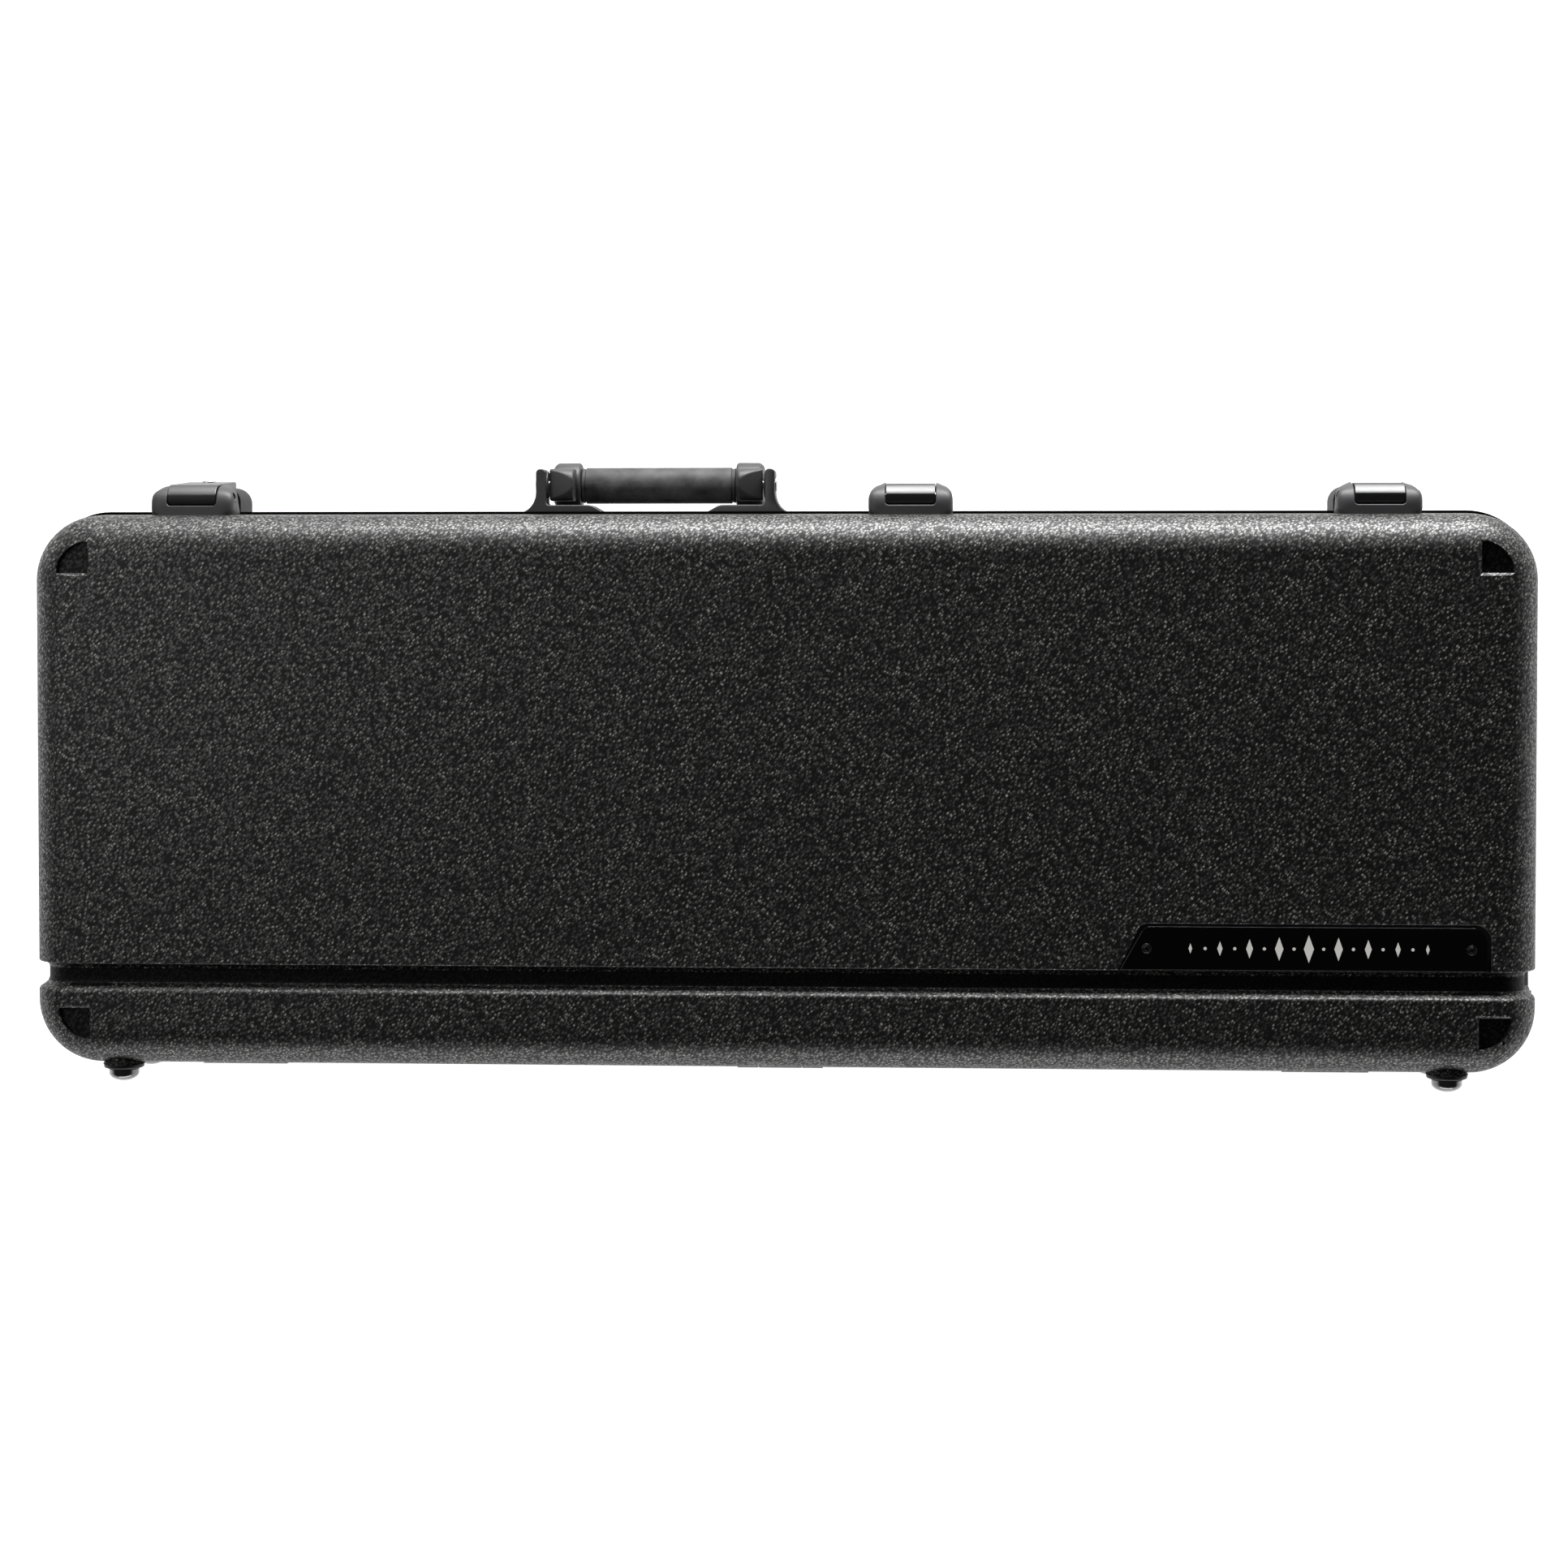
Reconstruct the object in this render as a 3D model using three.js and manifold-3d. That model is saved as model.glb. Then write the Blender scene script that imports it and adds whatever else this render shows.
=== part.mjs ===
// Electric guitar case in millimetres, lying on its back.
// +Z points out of the lid, +X to the body end, and the handle and latches are on the -Y side.
// The origin is the centre of the base shell's bottom face.
import * as THREE from 'three';
import { mergeVertices } from 'three/addons/utils/BufferGeometryUtils.js';
import Module from 'manifold-3d';

const wasm = await Module();
wasm.setup();

// Shells
const caseLength = 1040;
const caseWidth = 385;
const baseDepth = 70;
const lidDepth = 55.7;
const wall = 3.5;
const wallDraft = 1.2;
const cornerRadius = 45;
const edgeRadius = 26;
const fitGap = 0.3;
const cutOverrun = 5;

// Channel pressed into both shells along the hinge side and round their ends
const grooveFromHingeEdge = 55.6;
const grooveWidth = 17.4;
const grooveDepth = 7.2;
const grooveNearSlope = 2.8;
const grooveFarSlope = 1.6;
const grooveRimDepth = 1.8;
const grooveRampLength = 8;

// Quarter round pockets in the corners of both panels
const pocketFromEnd = 42.5;
const pocketFromEdge = 41.5;
const pocketRadius = 21.5;
const pocketDepth = 6;

// Rim frames that close the two shells on a tongue and groove
const rimHeight = 8;
const rimWidth = 8;
const tongueHeight = 4;
const tongueWidth = 2.4;
const tongueFromFace = 2.4;
const tongueClearance = 1.2;
const tongueHeadroom = 0.6;

// Nameplate, with its long edge on the channel
const plateFromEnd = 33;
const plateLength = 249.2;
const plateHeight = 30;
const plateSlant = 13.5;
const plateThickness = 1.5;
const plateSlantRound = 8;
const plateEndRound = 11;
const plateScrewInset = 15;
const plateScrewRadius = 1.6;
const plateScrewHeadRadius = 2.9;
const plateScrewHeadHeight = 1;

// Feet on the hinge side
const footFromEnd = 60.5;
const footFromPanel = 25.5;
const footBossRadius = 14.6;
const footBossTipRadius = 3;
const footBossLength = 15;
const footFlangeRadius = 13.9;
const footFlangeThickness = 3;
const footBore = 4.4;
const footPadRadius = 10.5;
const footPadHeight = 8.6;
const footPadStemRadius = 4;
const footPadRoundShares = [[1, 0.35], [0.93, 0.66], [0.76, 0.9], [0.52, 1]];

// Hinges
const hingeFromEnd = 140;
const hingeWidth = 60;
const hingeOffset = 1.2;
const knuckleRadius = 3;
const knuckleClearance = 0.6;
const knuckleGap = 0.4;
const hingePinRadius = 1.4;
const hingePinClearance = 0.2;
const hingePinHead = 0.2;
const leafThickness = 1.5;
const leafHeight = 9.6;
const leafRound = 2.5;
const leafMiddleShare = 0.5;

// Handle
const handleFromCentre = 88.5;
const gripLength = 110;
const gripRadius = 12.8;
const gripCoreRadius = 5;
const handleReach = 24;
const pivotHeight = 21.1;
const pivotFromSeam = 16;
const pivotPinRadius = 3;
const pivotPinClearance = 0.3;
const pivotPinHeadRadius = 5;
const pivotPinHeadHeight = 1.2;
const collarRadius = 16.3;
const collarLength = 20;
const collarInnerRound = 2.2;
const collarOuterRound = 5;
const linkWidth = 17;
const linkHalfHeight = 11.4;
const linkEyeRoundShare = 0.98;
const linkEdge = 0.8;
const linkFacetDepth = 3.4;
const linkSideClearance = 1.4;
const coreSocketDepth = 12;

// Handle brackets
const earThickness = 7.6;
const earHeight = 32;
const earRound = 3;
const bracketDepth = 22;
const bracketBaseHeight = 6.6;
const bracketFlare = 12.8;
const bracketInnerReach = 32;
const bracketInnerSlope = 10.5;
const bracketEdge = 1.2;
const bracketToeHeight = 1.2;
const backingThickness = 2;
const backingHeight = 12;
const backingRound = 3;

// Latches: a lever that turns in a housing on the lid and hooks a keeper on the base
const bodyLatchFromEnd = 109;
const middleLatchFromCentre = 91.4;
const neckLatchFromEnd = 107;
const lockedLatch = 'body_end';
const latchWidth = 58.4;
const latchEdge = 2;
const housingDepth = 26;
const housingHeight = 21.6;
const housingShoulder = 9;
const housingFloor = 2.6;
const windowSill = 5.6;
const sillThickness = 2.4;
const keeperDepth = 42;
const keeperHeight = 19.6;
const keeperShoulder = 12;
const keeperFloor = 2.6;
const leverWidth = 34;
const leverSideClearance = 0.4;
const leverPinFromSeam = 16.4;
const leverPinHeight = 12;
const leverBarrelRadius = 8.6;
const leverBarrelRoundShare = 0.94;
const leverPinRadius = 2;
const leverPinClearance = 0.3;
const leverPinInset = 4;
const leverPinHoleRadius = 2.3;
const leverTail = 40;
const leverTailTop = 21.4;
const lockedTailTop = 24.4;
const leverTailThickness = 5.6;
const leverHeel = 3.4;
const leverHeelRound = 3;
const leverTailRound = 2.2;
const leverEdge = 0.8;
const hookWidth = 18;
const hookThickness = 2.6;
const hookFront = 4;
const hookTip = 6.6;
const catchBarFromSeam = 12;
const catchBarDepth = 4;
const catchBarLow = 5.4;
const catchBarHigh = 10.8;
const catchClearance = 0.4;

// Key lock in one lever
const lockFromSeam = 28;
const lockRadius = 5.4;
const lockClearance = 0.3;
const lockProud = 0.3;
const keySlotWidth = 1.3;
const keySlotLength = 6.4;
const keySlotDepth = 1.4;

// Foam fittings
const floorPadThickness = 10;
const lidFoamThickness = 30;
const lidSkirtThickness = 12;
const bodyCavityLength = 430;
const bodyCavityHalfWidth = 166;
const bodyCavityFromEnd = 25;
const neckHalfWidth = 38;
const headstockLength = 190;
const headstockHalfWidth = 72;
const headstockFromEnd = 22;
const headstockRound = 22;
const neckRound = 3;
const wellLength = 320;
const wellWidth = 100;
const wellFromNeck = 22;
const wellFromBody = 36;
const wellRound = 18;
const cradleLength = 60;
const cradleFromBody = 190;
const cradleHeight = 38;
const cradleSideGap = 1;
const saddleHalfWidth = 31;
const saddleDepth = 20;
const saddleRound = 12;
const saddleEdge = 3;
// Half outline of the body cavity: share of its length from the tail, share of its half width
const bodyCavityShares = [
  [0, 0], [0.015, 0.34], [0.08, 0.74], [0.19, 0.96], [0.31, 1], [0.44, 0.88], [0.56, 0.77],
  [0.67, 0.78], [0.79, 0.87], [0.89, 0.86], [0.965, 0.7], [0.99, 0.42], [1, 0],
];

// Facets
const cornerSteps = 7;
const edgeSteps = 5;
const roundTurn = Math.PI / 7;
const rodSides = 12;
const cavitySteps = 26;
const mergeLimit = 1e-3;

const quarterTurn = Math.PI / 2;
const halfLength = caseLength / 2;
const halfWidth = caseWidth / 2;

// Materials
const plastic = (color, roughness) => new THREE.MeshStandardMaterial({ color, roughness, metalness: 0 });
const metal = (color, roughness) => new THREE.MeshStandardMaterial({ color, roughness, metalness: 1 });
const shellPlastic = plastic(0x232221, 0.5);
const rimPlastic = plastic(0x121212, 0.45);
const latchPlastic = plastic(0x3c3d3f, 0.4);
const leverPlastic = plastic(0x1c1d1e, 0.28);
const handlePlastic = plastic(0x2a2a2b, 0.6);
const handleRubber = plastic(0x303031, 0.7);
const plateGloss = plastic(0x050505, 0.08);
const footRubber = plastic(0x0d0d0d, 0.3);
const liningPlush = plastic(0x17181a, 0.95);
const steel = metal(0x9a9b9d, 0.35);
const blackSteel = metal(0x1a1a1a, 0.4);

// A closed three.js geometry as a solid that can be joined and cut
function solid(geometry) {
  const bare = geometry.clone();
  bare.deleteAttribute('normal');
  bare.deleteAttribute('uv');
  const merged = mergeVertices(bare, mergeLimit);
  const kept = [];
  for (let start = 0; start < merged.index.count; start += 3) {
    const [a, b, c] = [0, 1, 2].map((corner) => merged.index.getX(start + corner));
    if (a !== b && b !== c && c !== a) kept.push(a, b, c);
  }
  return new wasm.Manifold(new wasm.Mesh({
    numProp: 3,
    vertProperties: Float32Array.from(merged.attributes.position.array),
    triVerts: Uint32Array.from(kept),
  }));
}

// A named mesh of a solid
function piece(name, body, material) {
  const { vertProperties, triVerts } = body.getMesh();
  const geometry = new THREE.BufferGeometry();
  geometry.setAttribute('position', new THREE.BufferAttribute(Float32Array.from(vertProperties), 3));
  geometry.setIndex(Array.from(triVerts));
  const mesh = new THREE.Mesh(geometry.toNonIndexed(), material);
  mesh.geometry.computeVertexNormals();
  mesh.name = name;
  return mesh;
}

const union = (bodies) => bodies.reduce((whole, body) => whole.add(body));
const cutAll = (body, tools) => tools.reduce((rest, tool) => rest.subtract(tool), body);

// A box between two corners
function block([x0, y0, z0], [x1, y1, z1]) {
  const box = new THREE.BoxGeometry(x1 - x0, y1 - y0, z1 - z0);
  return solid(box.translate((x0 + x1) / 2, (y0 + y1) / 2, (z0 + z1) / 2));
}

// A round bar along X, centred at a point
function barAlongX(radius, length, [x, y, z]) {
  const bar = new THREE.CylinderGeometry(radius, radius, length, rodSides).rotateZ(quarterTurn);
  return solid(bar.translate(x, y, z));
}

// A turned solid about Y from [radius, height] points that start and end on the axis
function turned(profile) {
  const points = profile.map(([radius, height]) => new THREE.Vector2(radius, height));
  return solid(new THREE.LatheGeometry(points, rodSides));
}

// The points of a closed outline from corners [x, y, rounding]
function outline(corners) {
  const points = [];
  corners.forEach(([x, y, round = 0], index) => {
    const corner = new THREE.Vector2(x, y);
    const [toLast, toNext] = [corners.at(index - 1), corners[(index + 1) % corners.length]]
      .map(([nextX, nextY]) => new THREE.Vector2(nextX, nextY).sub(corner).normalize());
    const halfAngle = Math.acos(toLast.dot(toNext)) / 2;
    const start = corner.clone().addScaledVector(toLast, round / Math.tan(halfAngle));
    const end = corner.clone().addScaledVector(toNext, round / Math.tan(halfAngle));
    const middle = toLast.clone().add(toNext).normalize();
    const centre = corner.clone().addScaledVector(middle, round / Math.sin(halfAngle));
    const from = start.clone().sub(centre).angle();
    let sweep = end.clone().sub(centre).angle() - from;
    sweep -= 2 * Math.PI * Math.round(sweep / (2 * Math.PI));
    const steps = round > 0 ? Math.max(1, Math.round(Math.abs(sweep) / roundTurn)) : 0;
    for (let step = 0; step <= steps; step += 1) {
      const turn = from + (steps > 0 ? (sweep * step) / steps : 0);
      const point = new THREE.Vector2(Math.cos(turn), Math.sin(turn)).multiplyScalar(round).add(centre);
      const last = points.at(-1);
      if (!last || last.distanceTo(point) > mergeLimit) points.push(point);
    }
  });
  if (points[0].distanceTo(points.at(-1)) < mergeLimit) points.pop();
  return points;
}

// An outline in X and Y, drawn out along Z from low to high, with its end edges rounded
function prism(points, low, high, edge = 0) {
  const geometry = new THREE.ExtrudeGeometry(new THREE.Shape(points), {
    depth: high - low - 2 * edge,
    steps: 1,
    curveSegments: 1,
    bevelEnabled: edge > 0,
    bevelThickness: edge,
    bevelSize: edge,
    bevelOffset: -edge,
    bevelSegments: 2,
  });
  return geometry.translate(0, 0, low + edge);
}

// A side view in Z and Y, drawn out along X on both sides of the middle
function sidePrism(points, width, edge = 0) {
  const turnUpright = new THREE.Matrix4().makeBasis(
    new THREE.Vector3(0, 0, 1),
    new THREE.Vector3(0, 1, 0),
    new THREE.Vector3(-1, 0, 0),
  );
  return solid(prism(points, -width / 2, width / 2, edge).applyMatrix4(turnUpright));
}

// A closed solid through rings of equal count, from the lowest ring to the highest
function loft(rings) {
  const count = rings[0].length;
  const positions = rings.flat().flatMap((point) => [point.x, point.y, point.z]);
  const index = [];
  for (let ring = 0; ring < rings.length - 1; ring += 1) {
    for (let side = 0; side < count; side += 1) {
      const next = (side + 1) % count;
      const [a, b] = [ring * count + side, ring * count + next];
      index.push(a, b, b + count, a, b + count, a + count);
    }
  }
  const top = (rings.length - 1) * count;
  for (let side = 1; side < count - 1; side += 1) {
    index.push(0, side + 1, side, top, top + side, top + side + 1);
  }
  const geometry = new THREE.BufferGeometry();
  geometry.setAttribute('position', new THREE.BufferAttribute(Float32Array.from(positions), 3));
  geometry.setIndex(index);
  return solid(geometry);
}

// The shell's plan outline at one level, drawn in by an inset
function planRing(inset, level) {
  const round = cornerRadius - inset;
  const ring = [];
  for (let corner = 0; corner < 4; corner += 1) {
    const sideX = corner === 0 || corner === 3 ? 1 : -1;
    const sideY = corner < 2 ? 1 : -1;
    for (let step = 0; step <= cornerSteps; step += 1) {
      const turn = (corner + step / cornerSteps) * quarterTurn;
      ring.push(new THREE.Vector3(
        sideX * (halfLength - cornerRadius) + round * Math.cos(turn),
        sideY * (halfWidth - cornerRadius) + round * Math.sin(turn),
        level,
      ));
    }
  }
  return ring;
}

// How far the side wall has drawn in at a level above the rim
const draftAt = (depth, level) => (wallDraft * level) / (depth - edgeRadius);

// A shell's full form above its rim plane, taken inside its outer skin by an offset
function trayForm(depth, offset) {
  const rings = [planRing(offset, -cutOverrun), planRing(offset, 0)];
  if (offset === 0) rings.shift();
  for (let step = 0; step <= edgeSteps; step += 1) {
    const turn = (step / edgeSteps) * quarterTurn;
    const inset = wallDraft + edgeRadius - (edgeRadius - offset) * Math.cos(turn);
    rings.push(planRing(inset, depth - edgeRadius + (edgeRadius - offset) * Math.sin(turn)));
  }
  return loft(rings);
}

// Where the channel starts to run out towards the rim, at an offset inside the outer skin
const grooveRampLow = (offset) => rimHeight + 2 * fitGap + (wall - offset) / 2;

// The form left inside the channel: shallow at the rim, then ramped down to its full depth
function grooveCore(depth, offset) {
  const shallow = offset > 0 ? 0 : grooveRimDepth;
  const [low, high] = [grooveRampLow(offset), grooveRampLow(offset) + grooveRampLength];
  const rings = [
    planRing(offset + shallow, -2 * cutOverrun),
    planRing(offset + shallow + draftAt(depth, low), low),
    planRing(offset + grooveDepth + draftAt(depth, high), high),
  ];
  const round = edgeRadius - offset - grooveDepth;
  for (let step = 0; step <= edgeSteps; step += 1) {
    const turn = (step / edgeSteps) * quarterTurn;
    const inset = wallDraft + edgeRadius - round * Math.cos(turn);
    rings.push(planRing(inset, depth - edgeRadius + round * Math.sin(turn)));
  }
  return loft(rings);
}

// The band of the channel across a shell, from its wall side up past the panel
function grooveBand(depth, hingeSide, offset) {
  const near = halfWidth - grooveFromHingeEdge + offset;
  const far = halfWidth - grooveFromHingeEdge - grooveWidth - offset;
  const floor = depth - grooveDepth - offset;
  const low = offset > 0 ? grooveRampLow(offset) : -cutOverrun;
  const high = depth + cutOverrun;
  return sidePrism([
    [low, near - grooveNearSlope], [floor, near - grooveNearSlope], [depth, near], [high, near],
    [high, far], [depth, far], [floor, far + grooveFarSlope], [low, far + grooveFarSlope],
  ].map(([z, y]) => new THREE.Vector2(z, hingeSide * y)), caseLength + 2 * cutOverrun);
}

// A quarter round pocket whose square corner faces the middle of the panel
function cornerPocket(depth, sideX, sideY, offset) {
  const centreX = halfLength - pocketFromEnd - offset;
  const centreY = halfWidth - pocketFromEdge - offset;
  const reach = pocketRadius + (1 + Math.SQRT2) * offset;
  const points = [new THREE.Vector2(sideX * centreX, sideY * centreY)];
  for (let step = 0; step <= cornerSteps; step += 1) {
    const turn = (step / cornerSteps) * quarterTurn;
    points.push(new THREE.Vector2(
      sideX * (centreX + reach * Math.cos(turn)),
      sideY * (centreY + reach * Math.sin(turn)),
    ));
  }
  return solid(prism(points, depth - pocketDepth - offset, depth + cutOverrun));
}

// The shell form with its channel and pockets pressed in, inside its outer skin by an offset
function pressedForm(depth, hingeSide, offset) {
  const channel = grooveBand(depth, hingeSide, offset).subtract(grooveCore(depth, offset));
  const pockets = [[1, 1], [-1, 1], [-1, -1], [1, -1]]
    .map(([sideX, sideY]) => cornerPocket(depth, sideX, sideY, offset));
  return cutAll(trayForm(depth, offset), [channel, ...pockets]);
}

// The raised seat of a foot where the side wall rounds into the panel
function footBoss(depth, hingeSide, sideX) {
  const cone = new THREE.CylinderGeometry(footBossRadius, footBossTipRadius, footBossLength, rodSides);
  cone.translate(0, halfWidth - footBossLength / 2, 0);
  if (hingeSide < 0) cone.rotateX(Math.PI);
  return solid(cone.translate(sideX * (halfLength - footFromEnd), 0, depth - footFromPanel));
}

const hingePlaces = {
  body_end: halfLength - hingeFromEnd, middle: 0, neck_end: -halfLength + hingeFromEnd,
};

// The seats of the hinge barrels, cut into a shell's rim
function hingeNotches(hingeSide) {
  const width = hingeWidth + 2 * knuckleClearance;
  const y = hingeSide * (halfWidth + hingeOffset);
  return Object.values(hingePlaces)
    .map((x) => barAlongX(knuckleRadius + knuckleClearance, width, [x, y, -fitGap / 2]));
}

// One moulded shell, from its rim plane up to its panel
function shell(depth, hingeSide) {
  const bosses = [-1, 1].map((sideX) => footBoss(depth, hingeSide, sideX));
  const skin = union([pressedForm(depth, hingeSide, 0), ...bosses]);
  return cutAll(skin, [pressedForm(depth, hingeSide, wall), ...hingeNotches(hingeSide)]);
}

// A frame that follows the inside of a shell's wall between two levels
function wallFrame(depth, outerInset, innerInset, low, high) {
  const outer = loft([low, high].map((level) => (
    planRing(outerInset + draftAt(depth, Math.max(level, 0)), level)
  )));
  const inner = loft([low - cutOverrun, high + cutOverrun].map((level) => planRing(innerInset, level)));
  return outer.subtract(inner);
}

const rimOuter = wall + fitGap;
const tongueOuter = rimOuter + tongueFromFace;
const tongueInner = tongueOuter + tongueWidth;

// The base's rim frame with its tongue, seen from the rim plane into the shell
function tongueRim() {
  const frame = wallFrame(baseDepth, rimOuter, rimOuter + rimWidth, 0, rimHeight);
  return frame.add(wallFrame(baseDepth, tongueOuter, tongueInner, -tongueHeight, rimHeight / 2));
}

// The lid's rim frame with the groove that takes the tongue
function grooveRim() {
  const frame = wallFrame(lidDepth, rimOuter, rimOuter + rimWidth, 0, rimHeight);
  const slot = wallFrame(
    lidDepth,
    tongueOuter - tongueClearance,
    tongueInner + tongueClearance,
    -cutOverrun,
    tongueHeight + tongueHeadroom,
  );
  return frame.subtract(slot);
}

// The nameplate's outline in the lid's plan, grown by a margin and moved out at its channel edge
const plateBottom = halfWidth - grooveFromHingeEdge - grooveWidth;
const plateFar = -halfLength + plateFromEnd;
const plateNear = plateFar + plateLength;

function plateOutline(margin, bottomMargin) {
  const slope = plateSlant / plateHeight;
  const slantAt = (y) => plateNear + (y - plateBottom) * slope + margin * Math.hypot(1, slope);
  const right = plateFar - margin;
  const bottom = plateBottom + bottomMargin;
  const top = plateBottom - plateHeight - margin;
  return outline([
    [slantAt(bottom), bottom], [slantAt(top), top, plateSlantRound],
    [right, top, plateEndRound], [right, bottom],
  ]);
}

const plateTop = lidDepth - fitGap;
const plateFloor = plateTop - plateThickness;
const plateMargin = 2 * fitGap;
const plateScrewLength = wall - 2 * fitGap;
const plateScrewPlaces = {
  left: plateNear - plateScrewInset,
  right: plateFar + plateScrewInset,
};
const plateScrewY = plateBottom - plateHeight / 2;
const screwHole = (x, low, high) => {
  const bar = new THREE.CylinderGeometry(
    plateScrewRadius + fitGap, plateScrewRadius + fitGap, high - low, rodSides,
  ).rotateX(quarterTurn);
  return solid(bar.translate(x, plateScrewY, (low + high) / 2));
};

function lidShell() {
  const recessPlan = plateOutline(plateMargin, grooveFarSlope);
  const recess = solid(prism(recessPlan, plateFloor - fitGap, lidDepth + cutOverrun));
  const holes = Object.values(plateScrewPlaces)
    .map((x) => screwHole(x, lidDepth - wall - cutOverrun, lidDepth));
  return cutAll(shell(lidDepth, 1), [recess, ...holes]);
}

function nameplate() {
  const plate = solid(prism(plateOutline(0, -fitGap), plateFloor, plateTop));
  return cutAll(plate, Object.values(plateScrewPlaces)
    .map((x) => screwHole(x, plateFloor - cutOverrun, plateTop + cutOverrun)));
}

// A pan head screw that points along -Y, with its head's seat at zero
function plateScrew() {
  return turned([
    [0, -plateScrewLength], [plateScrewRadius, -plateScrewLength], [plateScrewRadius, fitGap],
    [plateScrewHeadRadius, fitGap], [plateScrewHeadRadius, fitGap + plateScrewHeadHeight / 2],
    [plateScrewHeadRadius / 2, fitGap + plateScrewHeadHeight], [0, fitGap + plateScrewHeadHeight],
  ]);
}

// A foot's flanged cup, seated on the wall plane and pointing along Y
function footCup() {
  const cup = turned([
    [0, fitGap], [footFlangeRadius, fitGap], [footFlangeRadius, fitGap + footFlangeThickness / 2],
    [footPadRadius, fitGap + footFlangeThickness], [0, fitGap + footFlangeThickness],
  ]);
  return cup.subtract(turned([
    [0, -cutOverrun], [footBore, -cutOverrun], [footBore, cutOverrun + footFlangeThickness],
    [0, cutOverrun + footFlangeThickness],
  ]));
}

// A foot's rubber pad, with its stem through the cup
function footPad() {
  const seat = 2 * fitGap + footFlangeThickness;
  return turned([
    [0, fitGap], [footPadStemRadius, fitGap], [footPadStemRadius, seat], [footPadRadius, seat],
    ...footPadRoundShares.map(([across, up]) => [footPadRadius * across, seat + footPadHeight * up]),
    [0, seat + footPadHeight],
  ]);
}

// A hinge leaf with its knuckles about the axis, standing up from the seam
function hingeLeaf(knuckleSpans) {
  const low = knuckleRadius + knuckleClearance;
  const plate = solid(prism(outline([
    [-hingeWidth / 2, low], [hingeWidth / 2, low],
    [hingeWidth / 2, leafHeight, leafRound], [-hingeWidth / 2, leafHeight, leafRound],
  ]), 0, leafThickness).rotateX(quarterTurn).translate(0, fitGap + leafThickness, 0));
  const knuckles = knuckleSpans.map(([from, to]) => union([
    barAlongX(knuckleRadius, to - from, [(from + to) / 2, hingeOffset, 0]),
    block([from, fitGap, 0], [to, fitGap + leafThickness, low + leafThickness]),
  ]));
  const bore = barAlongX(hingePinRadius + hingePinClearance, hingeWidth + cutOverrun, [0, hingeOffset, 0]);
  return union([plate, ...knuckles]).subtract(bore);
}

const middleKnuckle = (hingeWidth * leafMiddleShare) / 2;
const baseKnuckles = [
  [-hingeWidth / 2, -middleKnuckle - knuckleGap], [middleKnuckle + knuckleGap, hingeWidth / 2],
];
const lidKnuckles = [[-middleKnuckle, middleKnuckle]];

// The material of a side wall beyond the seating gap, in a frame with Y out of the wall
function wallBehind(shoulder) {
  const deep = -wall;
  return sidePrism([
    [-cutOverrun, fitGap], [0, fitGap], [shoulder, fitGap - wallDraft], [shoulder, deep],
    [-cutOverrun, deep],
  ].map(([z, y]) => new THREE.Vector2(z, y)), caseLength);
}

// A block with rounded shoulders across X and Y, drawn out along Z
function shoulderBlock(height, shoulder, low, high) {
  return solid(prism(outline([
    [-latchWidth / 2, -wall + latchEdge], [latchWidth / 2, -wall + latchEdge],
    [latchWidth / 2, height, shoulder], [-latchWidth / 2, height, shoulder],
  ]), low, high, latchEdge));
}

const channelHalf = leverWidth / 2 + leverSideClearance;
const latchPlaces = {
  body_end: halfLength - bodyLatchFromEnd,
  middle: -middleLatchFromCentre,
  neck_end: -halfLength + neckLatchFromEnd,
};

// The latch housing on the lid: cheeks that carry the pin, and a window for the lever
function latchHousing() {
  const body = shoulderBlock(housingHeight, housingShoulder, fitGap, housingDepth);
  const channel = block(
    [-channelHalf, housingFloor, -cutOverrun],
    [channelHalf, housingHeight + cutOverrun, housingDepth - sillThickness],
  );
  const window = block(
    [-channelHalf, windowSill, 0],
    [channelHalf, housingHeight + cutOverrun, housingDepth + cutOverrun],
  );
  const bore = barAlongX(leverPinHoleRadius, latchWidth + cutOverrun, [0, leverPinHeight, leverPinFromSeam]);
  return cutAll(body, [channel, window, bore, wallBehind(lidDepth - edgeRadius)]);
}

// The keeper on the base: cheeks either side of the lever, and the bar that the hook catches
function latchKeeper() {
  const body = shoulderBlock(keeperHeight, keeperShoulder, 0, keeperDepth);
  const channel = block(
    [-channelHalf, keeperFloor, -cutOverrun],
    [channelHalf, keeperHeight + cutOverrun, keeperDepth + cutOverrun],
  );
  const bar = block(
    [-channelHalf - latchEdge, catchBarLow, catchBarFromSeam],
    [channelHalf + latchEdge, catchBarHigh, catchBarFromSeam + catchBarDepth],
  );
  return cutAll(body, [channel, wallBehind(baseDepth - edgeRadius)]).add(bar);
}

const leverTop = leverPinHeight + leverBarrelRadius;
const leverUnder = leverTailTop - leverTailThickness;

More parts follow.
